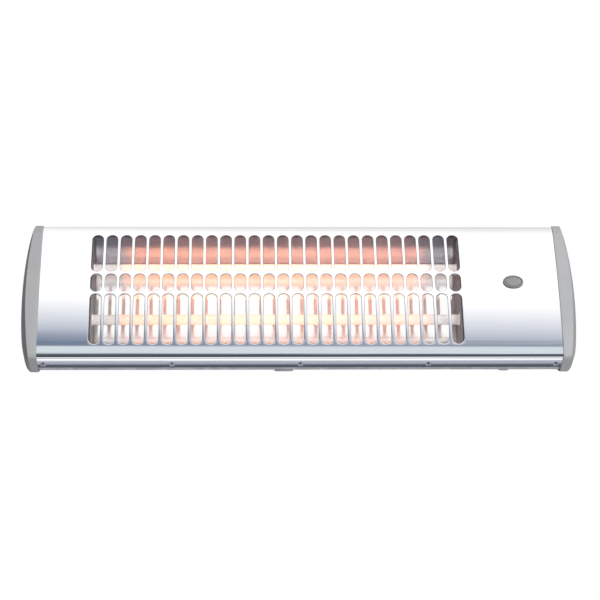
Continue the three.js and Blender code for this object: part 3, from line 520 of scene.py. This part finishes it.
cap_line = rounded([(crease + band_depth, -half_height, BEND)] + [(y, z, 0) for y, z in zip(front_depth(arc_z), arc_z)]
                   + [(crease + band_depth, half_height, BEND), (lip_rear, half_height, BEND),
                      (panel_y, BACK_HALF, BEND), (panel_y, -BACK_HALF, BEND), (lip_rear, -half_height, BEND)],
                   closed=True)
cap_run, cap_at = along(np.concatenate([cap_line, cap_line[:1]]))
cap_s = np.linspace(0, cap_run[-1], 241)[:-1]
cap_middle = (crease + panel_y) / 2


def cap_ring(inset, x, depth_share=1, height_share=1):
    """One ring round a cap: the body's outline moved inwards by inset, then drawn in towards its middle. x is
    a number, or a function of height."""
    y, z = cap_at(cap_s, inset)
    z = z * height_share
    y = cap_middle + (y - cap_middle) * depth_share
    return np.stack([np.broadcast_to(x(z) if callable(x) else x, z.shape), y, z], axis=1)


for side, direction in SIDE_NAMES:
    cap_low, cap_high = extent(f"end_cap_{side}")
    cap_outer = max(-cap_low[0], cap_high[0])
    bulge = cap_outer - CAP_INNER - CAP_BAND
    ledge_x = cover_high[0] + CAP_GAP

    def band_edge(z):
        """X of the edge between a cap's front band and its domed side, at height z."""
        return CAP_INNER + CAP_BAND - CAP_TAPER * (z / half_height) ** 2

    draw_in = 1 - np.linspace(0, 1, 22) ** 1.6
    dome = [(share, 1 - (1 - DOME_DEPTH) * (1 - share) - DOME_DEPTH * (1 - share) ** DOME_ROLL,
             DOME_RISE * (1 - share ** DOME_POWER)) for share in draw_in]
    roll = np.linspace(0, math.pi / 2, 4)
    cap_rings = [cap_ring(CAP_LEDGE, lambda z, rise=rise: band_edge(z) - CAP_WALL + (bulge - 0.4) * rise, depth, height)
                 for depth, height, rise in dome[::-1]]
    cap_rings += [cap_ring(CAP_LEDGE, ledge_x), cap_ring(-CAP_GAP, ledge_x), cap_ring(-CAP_GAP, CAP_INNER)]
    cap_rings += [cap_ring(-CAP_PROUD + CAP_LIP * (1 - math.sin(a)), CAP_INNER + CAP_LIP * (1 - math.cos(a)))
                  for a in roll]
    cap_rings += [cap_ring(-CAP_PROUD, lambda z, share=share: CAP_INNER + (band_edge(z) - CAP_INNER) * share)
                  for share in (0.3, 0.6, 0.85)]
    cap_rings += [cap_ring(-CAP_PROUD, lambda z, rise=rise: band_edge(z) + bulge * rise, depth, height)
                  for depth, height, rise in dome]
    skin_points = np.stack(cap_rings) * [direction, 1, 1]
    make_piece(f"cap_{side}", [(skin_points, grid_quads(*skin_points.shape[:2], around=True))], cap_plastic, "head",
               [f"end_cap_{side}"], sharp=40)


# ---- Screws ----
# M3 pan-head screws, zinc plated, with a cross recess: five hold the cover's flange to the housing from
# below, four hold the caps from behind, and a brass one earths the housing.

HEAD_RADIUS = 2.9
HEAD_FLAT = 2.1
HEAD_HEIGHT = 1.7
SHANK_RADIUS = 1.45
RECESS_ARM = 1.5
RECESS_WIDTH = 0.42
RECESS_DEPTH = 1.0


def zinc_finish(name, dark, light, smooth, rough):
    """A plated metal: two close tones in clouds, and a roughness range."""
    material, tree, shader = new_finish(name, dark, smooth, 1.0)
    vary(tree, shader, use_effect(tree, marks, Scale=90), tones=(dark, light), rough=(smooth, rough))
    vary(tree, shader, use_effect(tree, skin, Scale=1500), relief=0.00001)
    return material


zinc_steel = zinc_finish("zinc_steel", (0.62, 0.64, 0.66), (0.74, 0.75, 0.75), 0.24, 0.36)
brass = zinc_finish("brass", (0.66, 0.5, 0.22), (0.78, 0.62, 0.3), 0.22, 0.32)


def frame_along(axis):
    """Three directions at right angles as rows, the last one along axis."""
    axis = np.array(axis, float) / np.linalg.norm(axis)
    side = np.cross(axis, [0, 0, 1] if abs(axis[2]) < 0.9 else [1, 0, 0])
    side /= np.linalg.norm(side)
    return np.stack([side, np.cross(axis, side), axis])


def turned(profile, at, axis, steps=48):
    """A profile of (radius, height) turned round axis through at, as one patch."""
    profile = np.asarray(profile, float)
    angle = np.arange(steps) * 2 * math.pi / steps
    radius, height = profile[:, :1], profile[:, 1:]
    local = np.stack([radius * np.cos(angle), radius * np.sin(angle), height + 0 * angle], axis=-1)
    return np.array(at) + local @ frame_along(axis), grid_quads(len(profile), steps, around=True)


def turned_piece(name, corners, at, axis, finish, body, stands_for, steps=48):
    """A turned piece whose corners (radius, height, rounding) are eased into arcs."""
    return make_piece(name, [turned(rounded(corners, steps=4), at, axis, steps)], finish, body, [stands_for])


def pan_screw(name, axis, finish):
    """A pan-head screw: a domed head whose top is sunk along a cross, on a plain shank. axis points out of it, and
    its head ends where the CAD node's does."""
    axis = np.array(axis)
    length = abs(axis @ np.subtract(*extent(name))) - HEAD_HEIGHT
    at = centre_of(name) + axis * (length - HEAD_HEIGHT) / 2
    radius = np.concatenate([np.linspace(0, HEAD_FLAT, 15),
                             HEAD_FLAT + (HEAD_RADIUS - HEAD_FLAT) * np.sin(np.linspace(0.2, math.pi / 2, 6))])
    height = HEAD_HEIGHT * (1 - np.clip(radius / HEAD_RADIUS, 0, 1) ** 4) ** 0.5 * 0.85 + HEAD_HEIGHT * 0.15
    flat = radius < HEAD_FLAT
    height[flat] = HEAD_HEIGHT * (1 - 0.05 * radius[flat] ** 2 / HEAD_FLAT ** 2)
    profile = np.concatenate([np.stack([radius, height], 1), [[HEAD_RADIUS, 0], [SHANK_RADIUS, 0],
                              [SHANK_RADIUS, -length + 0.8], [0.7, -length], [0, -length]]])
    points, quads = turned(profile, (0, 0, 0), (0, 0, 1), 64)
    across, up = np.abs(points[:15, :, 0]), np.abs(points[:15, :, 1])
    arm, width = np.maximum(across, up), np.minimum(across, up)
    sunk = np.clip((RECESS_ARM - arm) / 0.7, 0, 1) * np.clip((RECESS_WIDTH - width) / 0.12, 0, 1)
    points[:15, :, 2] -= RECESS_DEPTH * sunk
    return make_piece(name, [(at + points @ frame_along(axis), quads)], finish, "head", [name], sharp=30)


for number in range(1, 6):
    pan_screw(f"cover_screw_{number}", (0, 0, -1), zinc_steel)
for side, direction in SIDE_NAMES:
    for level in ("upper", "lower"):
        pan_screw(f"cap_screw_{side}_{level}", (0, 1, 0), zinc_steel)
pan_screw("earth_screw", (0, -1, 0), brass)


# ---- Reflector and tube carriers ----
# A trough of bright-rolled aluminium, 0.6 mm thick, bent along its length, stands behind the tubes. A folded
# plate of dull galvanised steel closes each of its ends and carries the tubes' ceramic ends. The bent sides
# are stretched and rougher than the flat back. Their colour goes from white through a painted blue-grey
# reflection to painted shade at the mouth.

REFLECTOR_SHEET = 0.6
REFLECTOR_BEND = 30
REFLECTOR_FLARE = 25.5

mirror_aluminium, tree, shader = new_finish("mirror_aluminium", (0.94, 0.94, 0.94), 0.09, 0.9)
vary(tree, shader, use_effect(tree, rolling, Along=10, Across=1400), relief=0.00001)
from_middle = reckon(tree, "ABSOLUTE", node(tree, "SeparateXYZ", own_place(tree)).outputs["Z"])
stretch = result(tree, "MapRange", from_middle, in_From_Min=0.02, in_From_Max=0.034)
wiped = spread(tree, use_effect(tree, marks, Scale=14)[0], 0, 0.03)
feed(tree, shader.inputs["Roughness"], reckon(tree, "ADD", spread(tree, stretch, 0.03, 0.2), wiped))
# Painted reflection and shade: the base colour goes from white on the flat back to a painted blue-grey
# reflection on the bent sides and dark painted shade at the mouth. Stops in tenths of a metre from the middle of the
# flat back
feed(tree, shader.inputs["Base Color"], color_ramp(tree, spread(tree, from_middle, 0, 10), [
    (0.45, (0.9, 0.9, 0.9)), (0.58, (0.6, 0.65, 0.75)), (0.67, (0.6, 0.65, 0.75)), (0.69, (0.1, 0.1, 0.12))]))

dull_zinc, tree, shader = new_finish("dull_zinc", (0.3, 0.3, 0.32), 0.5, 0.8)
vary(tree, shader, use_effect(tree, spangle, Scale=180), tones=((0.2, 0.2, 0.22), (0.3, 0.3, 0.32)))


def finish_kept(finish, *names):
    """Gives a finish to CAD meshes that stay as they are."""
    for name in names:
        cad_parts[name].data.materials.clear()
        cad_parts[name].data.materials.append(finish)

trough_low, trough_high = extent("reflector")
mouth_half = trough_high[2]
flat_half = mouth_half - REFLECTOR_FLARE
trough_section = rounded([(trough_low[1], -mouth_half, 0), (trough_high[1], -flat_half, REFLECTOR_BEND),
                          (trough_high[1], flat_half, REFLECTOR_BEND), (trough_low[1], mouth_half, 0)], steps=24)
trough_run, trough_at = along(trough_section[::-1])
trough_x = np.array([trough_low[0], trough_high[0]])
make_piece("trough", punched_sheet(trough_x, grid_lines(trough_run), trough_at, [], REFLECTOR_SHEET), mirror_aluminium,
           "head", ["reflector"])
finish_kept(dull_zinc, "tube_carrier_left", "tube_carrier_right")


# ---- Heating tubes ----
# Two tubes of milky quartz glass with a wound resistance wire inside, lit. Their ends sit in steatite
# holders, and the wire ends in plated pins behind them. The wire glows between the two cold ends.

COIL_RADIUS = 2.9
WIRE_RADIUS = 0.42
COIL_TURNS = 112
COLD_WIRE = 34
COIL_STEPS = 14
TUBE_WALL = 1.2
GLASS_IN_HOLDER = 9.7
PIN_IN_HOLDER = 7.5
HOLDER = {"length": 14, "radius": 7.2, "spigot": 6.4, "flange": 1.3, "glass": 5.55, "floor": 10, "bore": 1.5}

ceramic, tree, shader = new_finish("steatite", (0.8, 0.78, 0.72), 0.6)
vary(tree, shader, use_effect(tree, marks, Scale=160), tones=((0.78, 0.76, 0.7), (0.86, 0.85, 0.81)))
vary(tree, shader, use_effect(tree, skin, Scale=1800), relief=0.00005)

tube_low, tube_high = extent("quartz_tube_upper")
tube_middle = (tube_low[0] + tube_high[0]) / 2
carrier_half = (tube_high[0] - tube_low[0]) / 2 - GLASS_IN_HOLDER
hot_half = carrier_half - COLD_WIRE + PIN_IN_HOLDER

# Heat along a tube: Heat is 1 between the cold ends and 0 at them, Along runs from 0 to 1 over the hot length
heat, given = new_effect("heat", Middle=0, Half=0.16, Fade=0.008)
offset = reckon(heat, "SUBTRACT", result(heat, "SeparateXYZ", given["Vector"]), given["Middle"])
inside = reckon(heat, "SUBTRACT", given["Half"], reckon(heat, "ABSOLUTE", offset))
give(heat, Heat=result(heat, "Math", inside, given["Fade"], operation="DIVIDE", use_clamp=True),
     Along=result(heat, "MapRange", reckon(heat, "DIVIDE", offset, given["Half"]), in_From_Min=-1.0))

SHED_LIGHT = (1.0, 0.33, 0.19)
SHED_STRENGTH = 3.8
FAINT_IN_MIRROR = 0.9
COLD_END = (0.3, 0.28, 0.27)


def glowing(material, tree, shader, stops, strength):
    """Emission along the tube: the colours of stops where it is looked at, orange light on what stands round
    it, faint at the cold ends. Polished metal mirrors it only faintly, as the reflector does."""
    hot = use_effect(tree, heat, Middle=tube_middle * MM, Half=hot_half * MM)
    rays = node(tree, "LightPath").outputs
    looked_past = reckon(tree, "MAXIMUM", rays["Is Transmission Ray"], rays["Is Glossy Ray"])
    looked_at = reckon(tree, "MAXIMUM", rays["Is Camera Ray"], looked_past)
    color = tinted(tree, looked_at, SHED_LIGHT, color_ramp(tree, hot["Along"], stops))
    feed(tree, shader.inputs["Emission Color"], tinted(tree, hot["Heat"], COLD_END, color))
    feed(tree, shader.inputs["Emission Strength"], spread(tree, looked_at, SHED_STRENGTH, strength))
    faint = spread(tree, rays["Is Glossy Ray"], 0, FAINT_IN_MIRROR)
    feed(tree, tree.nodes["Material Output"].inputs["Surface"],
         result(tree, "MixShader", faint, shader.outputs["BSDF"], result(tree, "BsdfTransparent")))
    return material


def quartz_finish(level, stops, strength):
    """Milky quartz glass, lit from inside."""
    material, tree, shader = new_finish(f"quartz_glass_{level}", (0.8, 0.79, 0.77), 0.22)
    shader.inputs["IOR"].default_value = 1.46
    shader.inputs["Transmission Weight"].default_value = 0.3
    vary(tree, shader, use_effect(tree, marks, Scale=120), rough=(0.16, 0.3))
    return glowing(material, tree, shader, stops, strength)


GLOW = {"upper": ([(0, (1.0, 0.65, 0.4)), (0.5, (1.0, 0.8, 0.5)), (1, (1.0, 0.7, 0.6))], 0.8),
        "lower": ([(0, (1.0, 0.45, 0.2)), (0.5, (1.0, 0.7, 0.4)), (1, (1.0, 0.45, 0.35))], 0.5)}
WIRE_GLOW = ([(0, (1.0, 0.42, 0.12)), (1, (1.0, 0.45, 0.18))], 1.2)
hot_wire = glowing(*new_finish("hot_wire", (0.3, 0.25, 0.22), 0.6, 0.5), *WIRE_GLOW)


def tube_along(points, radius, sides):
    """A round tube along points, its section carried from one point to the next without twist."""
    points = np.asarray(points, float)
    forward = np.gradient(points, axis=0)
    forward /= np.linalg.norm(forward, axis=1, keepdims=True)
    normal = np.cross(forward[0], [0, 0, 1] if abs(forward[0][2]) < 0.9 else [1, 0, 0])
    normals = []
    for step in forward:
        normal = normal - step * (normal @ step)
        normal = normal / np.linalg.norm(normal)
        normals.append(normal)
    normals = np.array(normals)
    binormals = np.cross(forward, normals)
    angle = np.arange(sides) * 2 * math.pi / sides
    rings = (points[:, None] + radius * np.cos(angle)[:, None] * normals[:, None]
             + radius * np.sin(angle)[:, None] * binormals[:, None])
    ends = np.repeat(points[[0, -1], None], sides, axis=1)
    rings = np.concatenate([ends[:1], rings, ends[1:]])
    return rings, grid_quads(*rings.shape[:2], around=True)


def coil_line(length):
    """Helix along X that opens from the axis at one end to its full radius and closes again at the other."""
    share = np.linspace(0, 1, COIL_TURNS * COIL_STEPS + 1)
    along_x = share * length
    from_end = np.clip(np.minimum(along_x, length - along_x) / COLD_WIRE, 0, 1)
    radius = COIL_RADIUS * from_end ** 2 * (3 - 2 * from_end)
    angle = share * COIL_TURNS * 2 * math.pi
    return np.stack([along_x, radius * np.cos(angle), radius * np.sin(angle)], axis=1)


for level in ("upper", "lower"):
    low, high = extent(f"quartz_tube_{level}")
    centre = (low + high) / 2
    half, _, outer = (high - low) / 2
    bore = outer - TUBE_WALL
    turned_piece(f"glass_{level}", [
        (bore, -half, 0), (outer, -half, 0.3), (outer, half, 0.3), (bore, half, 0.3), (bore, -half, 0)],
        centre, (1, 0, 0), quartz_finish(level, *GLOW[level]), "head", f"quartz_tube_{level}")
    low, high = extent(f"heating_coil_{level}")
    start = np.array([low[0], (low[1] + high[1]) / 2, (low[2] + high[2]) / 2])
    make_piece(f"coil_{level}", [tube_along(start + coil_line(high[0] - low[0]), WIRE_RADIUS, 6)], hot_wire, "head",
               [f"heating_coil_{level}"], sharp=80)
    for side, direction in SIDE_NAMES:
        outward = (direction, 0, 0)
        face = centre + [direction * carrier_half, 0, 0]
        long = HOLDER["length"]
        turned_piece(f"holder_{level}_{side}", [
            (HOLDER["bore"], long, 0), (HOLDER["radius"], long, 1), (HOLDER["radius"], HOLDER["flange"], 0.4),
            (HOLDER["spigot"], HOLDER["flange"], 0), (HOLDER["spigot"], 0, 0.3), (HOLDER["glass"], 0, 0.2),
            (HOLDER["glass"], HOLDER["floor"], 0), (HOLDER["bore"], HOLDER["floor"], 0), (HOLDER["bore"], long, 0)],
            face, outward, ceramic, "head", f"ceramic_end_{level}_{side}")
        turned_piece(f"pin_{level}_{side}", [
            (0, long + 7, 0), (1.2, long + 7, 0.3), (1.2, long + 2.3, 0), (2.8, long + 2.3, 0.3),
            (2.8, long + 0.3, 0.3), (1.2, long + 0.3, 0), (1.2, PIN_IN_HOLDER, 0.3), (0, PIN_IN_HOLDER, 0)],
            face, outward, zinc_steel, "head", f"terminal_pin_{level}_{side}", 24)


# ---- Indicator ----
# An oval neon indicator pushed into the cover: a grey moulded bezel, a smoky lens in it and the lamp behind.

BEZEL_RIM = 1.6
BEZEL_THICK = 1.3
BEZEL_NECK = 0.6
BEZEL_IN = 0.5
BEZEL_OUT = 0.9
LENS_EDGE = 1.1
OVAL_STEPS = 72
POINT = 0.01


def oval_piece(name, rings, finish, stands_for, sharp=35):
    """Ellipses of (half width, half height, y) round the indicator's middle, joined into one skin."""
    angle = np.arange(OVAL_STEPS) * 2 * math.pi / OVAL_STEPS
    points = np.stack([np.stack([indicator_x + a * np.cos(angle), np.full(OVAL_STEPS, y),
                                 indicator_z + b * np.sin(angle)], axis=1) for a, b, y in rings])
    return make_piece(name, [(points, grid_quads(*points.shape[:2], around=True))], finish, "head", [stands_for],
                      sharp)


bezel_grey = moulded_plastic("bezel_plastic", (0.24, 0.24, 0.25), (0.3, 0.3, 0.31), 0.2, 0.3, 0.00002)
lens_plastic, tree, shader = new_finish("lens_plastic", (0.4, 0.4, 0.41), 0.15)
shader.inputs["Transmission Weight"].default_value = 0.2
shader.inputs["Coat Weight"].default_value = 0.5
prisms = node(tree, "TexWave", own_place(tree), bands_direction="DIAGONAL", in_Scale=240.0, in_Distortion=1.5)
vary(tree, shader, [prisms.outputs["Fac"]], ((0.24, 0.24, 0.25), (0.42, 0.42, 0.43)), relief=0.0002, strength=0.6)

bezel_half, face_y, back_y = (indicator_high - indicator_low)[[0, 2]] / 2, indicator_low[1], indicator_high[1]
rim = bezel_half - BEZEL_RIM
neck = rim + BEZEL_NECK
bezel_rings = [(*rim, back_y), (*rim, face_y + BEZEL_IN)]
bezel_rings += [(*(rim + BEZEL_IN * (1 - math.cos(a))), face_y + BEZEL_IN * (1 - math.sin(a))) for a in roll]
bezel_rings += [(*(bezel_half - BEZEL_OUT * (1 - math.sin(a))), face_y + BEZEL_OUT * (1 - math.cos(a))) for a in roll]
bezel_rings += [(*bezel_half, face_y + BEZEL_THICK), (*neck, face_y + BEZEL_THICK), (*neck, back_y), (*rim, back_y)]
oval_piece("bezel", bezel_rings, bezel_grey, "indicator_bezel")
lens_low, lens_high = extent("indicator_lens")
lens_half = (lens_high - lens_low)[[0, 2]] / 2
lens_rings = [(POINT, POINT, lens_high[1]), (*lens_half, lens_high[1]), (*lens_half, lens_low[1] + LENS_EDGE)]
lens_rings += [(*(lens_half * math.cos(a) + POINT), lens_low[1] + LENS_EDGE * (1 - math.sin(a)))
               for a in np.linspace(0, math.pi / 2, 12)]
oval_piece("lens", lens_rings, lens_plastic, "indicator_lens", sharp=60)
white_plastic = moulded_plastic("white_plastic", (0.76, 0.76, 0.74), (0.82, 0.82, 0.8), 0.3, 0.45)


# ---- Pull switch, its bush and plunger ----
# A pull switch sits inside the lower slope. Its bush is screwed in from below, and the cord's plunger slides
# in the bush and springs back.

dark_plastic = moulded_plastic("dark_plastic", (0.03, 0.031, 0.034), (0.045, 0.046, 0.05), 0.38, 0.5)
slope_out = np.array([0, math.sin(slope_angle), -math.cos(slope_angle)])
BUSH = {"bore": 2, "neck": 3.9, "flange": 5.5, "proud": 1.6, "inside": 4.1, "thick": 1}
SWITCH_ALONG = 9
switch_at = np.array([centre_of("cord_bush")[0], lip_rear + SWITCH_ALONG * math.cos(slope_angle),
                      -lip_height + SWITCH_ALONG * math.sin(slope_angle)])
turned_piece("bush", [
    (BUSH["bore"], BUSH["proud"], 0), (BUSH["neck"], BUSH["proud"], 0.6),
    (BUSH["flange"] - 0.5, BUSH["thick"] + 0.3, 0.4), (BUSH["flange"], 0.3, 0.2), (BUSH["neck"], 0.3, 0),
    (BUSH["neck"], -BUSH["inside"], 0.2), (BUSH["bore"], -BUSH["inside"], 0), (BUSH["bore"], BUSH["proud"], 0)],
    switch_at, slope_out, cap_plastic, "head", "cord_bush")
turned_piece("plunger", [
    (0, 0.6, 0), (1.5, 0.6, 0.5), (1.5, -16, 0), (3.2, -16, 0.3), (3.2, -19, 0.3), (0, -19, 0)],
    switch_at, slope_out, white_plastic, "plunger", "pull_plunger", 32)
finish_kept(dark_plastic, "pull_switch", "thermal_cutout")
finish_kept(white_plastic, "terminal_block", "indicator_lamp")
finish_kept(cap_plastic, "cable_gland")


# ---- Wires ----
# Single wires in a braided glass-fibre sleeve, from the tubes' pins to the terminals.

sleeve, tree, shader = new_finish("wire_sleeve", (0.6, 0.57, 0.48), 0.85)
braid = node(tree, "TexWave", own_place(tree), wave_type="BANDS", bands_direction="DIAGONAL", in_Scale=420.0)
vary(tree, shader, [braid.outputs["Fac"]], ((0.5, 0.47, 0.4), (0.7, 0.67, 0.58)), relief=0.0001)
finish_kept(sleeve, "wire_left_upper", "wire_left_lower", "wire_right_upper", "wire_right_lower", "wire_lamp")


# ---- Brackets, bolts, washers, rivets and knobs ----
# Zinc-plated steel, 2 mm thick: a bracket riveted to the housing's back, and one screwed to the wall. They
# turn on two bolts, with a fibre washer between them, and a lobed knob clamps each side.

fibre, tree, shader = new_finish("vulcan_fibre", (0.22, 0.12, 0.06), 0.8)
vary(tree, shader, use_effect(tree, marks, Scale=300), tones=((0.18, 0.1, 0.05), (0.27, 0.16, 0.08)))
EASED_ANGLE = math.radians(35)


def eased(node_name, name, width, finish, body):
    """The CAD solid with its flat faces joined up and its edges rounded."""
    piece = bpy.data.objects.new(name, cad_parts[node_name].data.copy())
    bpy.context.scene.collection.objects.link(piece)
    work = bmesh.new()
    work.from_mesh(piece.data)
    bmesh.ops.remove_doubles(work, verts=work.verts, dist=1e-6)
    bmesh.ops.dissolve_limit(work, angle_limit=math.radians(1), verts=work.verts, edges=work.edges)
    work.to_mesh(piece.data)
    work.free()
    piece.data.shade_smooth()
    piece.data.set_sharp_from_angle(angle=EASED_ANGLE)
    bevel = piece.modifiers.new("edges", "BEVEL")
    bevel.width = width * MM
    bevel.segments = 2
    bevel.limit_method = "ANGLE"
    bevel.angle_limit = EASED_ANGLE
    return dress(piece, finish, body, [node_name])


eased("head_bracket", "bracket_on_head", 0.4, zinc_steel, "head")
eased("wall_bracket", "bracket_on_wall", 0.4, zinc_steel, "wall")
RIVET_HEAD = 3.6
for number in range(1, 5):
    low, high = extent(f"bracket_rivet_{number}")
    at = ((low[0] + high[0]) / 2, low[1], (low[2] + high[2]) / 2)
    long = high[1] - low[1]
    turned_piece(f"rivet_{number}", [
        (0, 0, 0), (RIVET_HEAD, 0, 1.3), (RIVET_HEAD, 1.5, 0), (2, 1.5, 0), (2, long - 1.5, 0),
        (RIVET_HEAD, long - 1.5, 0), (RIVET_HEAD, long, 1.3), (0, long, 0)], at, (0, 1, 0), zinc_steel, "head",
        f"bracket_rivet_{number}", 32)

KNOB_RADIUS = 12
KNOB_LOBES = 6
BOLT_RADIUS = 3
BOLT_HEAD = 5.2
BOLT_HEAD_HIGH = 4
THREAD_DEPTH = 0.15


def reach(node):
    """Distances from the middle, along X, at which a CAD node starts and ends."""
    return np.sort(np.abs([corner[0] for corner in extent(node)]))


for side, direction in SIDE_NAMES:
    inner, outer = reach(f"pivot_bolt_{side}")
    pivot = centre_of(f"pivot_bolt_{side}") * [0, 1, 1]
    outward = (direction, 0, 0)
    head_profile = rounded([(0, inner, 0), (BOLT_HEAD, inner, 0.6), (BOLT_HEAD, inner + BOLT_HEAD_HIGH, 0.3),
                            (BOLT_RADIUS, inner + BOLT_HEAD_HIGH, 0)], steps=3)
    shank_x = np.linspace(inner + BOLT_HEAD_HIGH, outer - 1, 120)
    shank = np.stack([BOLT_RADIUS - THREAD_DEPTH * (1 + np.cos(shank_x * 2 * math.pi)) / 2, shank_x], axis=1)
    points, quads = turned(np.concatenate([head_profile, shank, [[2.2, outer], [0, outer]]]), pivot, outward, 48)
    angle = np.arange(48) * 2 * math.pi / 48
    flat = 1 / np.cos((angle + math.pi / 6) % (math.pi / 3) - math.pi / 6)
    heads = len(head_profile) - 1
    points[:heads, :, 1:] = pivot[1:] + (points[:heads, :, 1:] - pivot[1:]) * flat[None, :, None] / flat.max()
    make_piece(f"bolt_{side}", [(points, quads)], zinc_steel, "head", [f"pivot_bolt_{side}"], sharp=30)
    near, far = reach(f"friction_washer_{side}")
    turned_piece(f"washer_{side}", [
        (3.3, near, 0), (8, near, 0.2), (8, far, 0.2), (3.3, far, 0), (3.3, near, 0)], pivot, outward, fibre, "head",
        f"friction_washer_{side}")
    near, far = reach(f"clamp_knob_{side}")
    knob_profile = rounded([(3.3, near + 12.4, 0), (3.3, near, 0), (8.5, near, 0.6), (10.2, near + 3, 1),
                            (KNOB_RADIUS, near + 5, 1.2), (KNOB_RADIUS, far, 1.6), (7, far, 0.8), (6, far - 0.8, 0.8),
                            (0, far - 0.8, 0)], steps=5)
    knob_profile = np.concatenate([[[0, near + 12.4]], knob_profile])
    points, quads = turned(knob_profile, pivot, outward, 96)
    angle = np.arange(96) * 2 * math.pi / 96
    grip = np.clip((knob_profile[:, 0] - 7) / 4, 0, 1)
    lobes = 1 - (1 - np.cos(KNOB_LOBES * angle)) / KNOB_RADIUS * grip[:, None]
    points[..., 1:] = pivot[1:] + (points[..., 1:] - pivot[1:]) * lobes[..., None]
    make_piece(f"knob_{side}", [(points, quads)], dark_plastic, f"knob_{side}", [f"clamp_knob_{side}"],
               sharp=40)


# ---- Room ----
# The camera stands 2 m away, low in front. The background is white, the floor is 1.8 m below, and the steel
# mirrors a room of plain bands: bright above, blue-grey near the horizon and dark below.

CAMERA_DISTANCE = 2.0
CAMERA_UP = math.radians(30.370)
CAMERA_ROUND = math.radians(2.026)
CAMERA_ROLL = math.radians(-1.052)
LENS_MM = 118.2
AIM = Vector((0, crease * MM, -0.01335))

back = Vector((-math.sin(CAMERA_ROUND) * math.cos(CAMERA_UP), -math.cos(CAMERA_ROUND) * math.cos(CAMERA_UP),
               -math.sin(CAMERA_UP)))
right = (-back).cross(Vector((0, 0, 1))).normalized()
up = right.cross(-back)
rolled_right = math.cos(CAMERA_ROLL) * right + math.sin(CAMERA_ROLL) * up
rolled_up = -math.sin(CAMERA_ROLL) * right + math.cos(CAMERA_ROLL) * up
camera = bpy.data.objects.new("camera", bpy.data.cameras.new("camera"))
camera.data.lens = LENS_MM
camera.data.clip_end = 50
camera.matrix_world = Matrix.Translation(AIM + CAMERA_DISTANCE * back) @ Matrix(
    (rolled_right, rolled_up, back)).transposed().to_4x4()
bpy.context.scene.collection.objects.link(camera)
bpy.context.scene.camera = camera

LIGHTER_RIGHT = 0.18
DAYLIGHT = 0.19
MIRRORED = 1.15
WHITE = (1, 1, 1)
PALE_GREY = (0.6, 0.6, 0.6)
PALE_BLUE = (0.6, 0.65, 0.7)
MIDDLE_GREY = (0.5, 0.53, 0.6)
DIM_BLUE = (0.35, 0.37, 0.45)
BLUE_GREY = (0.15, 0.19, 0.27)
DARK = (0.07, 0.08, 0.1)

world = bpy.data.worlds.new("studio")
bpy.context.scene.world = world
world.use_nodes = True
sky = world.node_tree
sky.nodes.clear()
towards = node(sky, "SeparateXYZ", node(sky, "TexCoord").outputs["Generated"]).outputs


def gradient(level, stops):
    """A colour ramp over level, a height above the horizon, from stops (degrees, colour)."""
    return color_ramp(sky, result(sky, "MapRange", level, in_From_Min=-1.0),
                      [((math.sin(math.radians(degrees)) + 1) / 2, color) for degrees, color in stops])


in_front = gradient(reckon(sky, "MULTIPLY_ADD", towards["X"], LIGHTER_RIGHT, towards["Z"]), [
    (90, PALE_GREY), (55, WHITE), (28, WHITE), (19, MIDDLE_GREY), (15.5, BLUE_GREY), (7, BLUE_GREY), (3, PALE_BLUE),
    (-7, PALE_BLUE), (-9, DARK), (-90, DARK)])
behind = gradient(towards["Z"], [
    (90, PALE_GREY), (60, (0.3, 0.3, 0.3)), (10, (0.25, 0.25, 0.25)), (-15, (0.3, 0.3, 0.35)), (-20, DARK), (-25, DARK),
    (-28, DIM_BLUE), (-33.5, DIM_BLUE), (-35.5, WHITE), (-59, WHITE), (-67, DARK), (-90, DARK)])
facing = result(sky, "MapRange", towards["Y"], in_From_Min=-0.15, in_From_Max=0.15)

# The room is mirrored, even daylight falls on the heater, and the camera sees white behind it
rays = node(sky, "LightPath").outputs
mirrored = result(sky, "Background", tinted(sky, facing, in_front, behind), MIRRORED)
lighting = result(sky, "Background", WHITE, DAYLIGHT)
seen = result(sky, "Background", WHITE)
through = reckon(sky, "MAXIMUM", rays["Is Glossy Ray"], rays["Is Transmission Ray"])
for_objects = result(sky, "MixShader", through, lighting, mirrored)
node(sky, "OutputWorld", result(sky, "MixShader", rays["Is Camera Ray"], for_objects, seen))


def soft_lamp(name, at, size, watts):
    """A square area lamp that points at the heater and isn't mirrored in it."""
    lamp = bpy.data.objects.new(name, bpy.data.lights.new(name, "AREA"))
    lamp.data.size = size
    lamp.data.energy = watts
    lamp.visible_glossy = False
    lamp.location = at
    lamp.rotation_euler = (AIM - lamp.location).to_track_quat("-Z", "Y").to_euler()
    bpy.context.scene.collection.objects.link(lamp)


soft_lamp("key", Vector((0.8, -2.6, 0.7)), 1.4, 48)
soft_lamp("fill", Vector((0.8, -1.3, -1.5)), 1.2, 20)

FLOOR_LEVEL = -1.8
FLOOR_HALF = 2.2
floor_mesh = bpy.data.meshes.new("floor")
floor_mesh.from_pydata([(x * FLOOR_HALF, y * FLOOR_HALF, FLOOR_LEVEL) for x, y in ((-1, -1), (1, -1), (1, 1), (-1, 1))],
                       [], [(0, 1, 2, 3)])
floor = bpy.data.objects.new("floor", floor_mesh)
bpy.context.scene.collection.objects.link(floor)
floor_mesh.materials.append(new_finish("pale_floor", (0.9, 0.9, 0.9), 0.8)[0])
floor.visible_glossy = False

bpy.context.scene.view_settings.view_transform = "Standard"
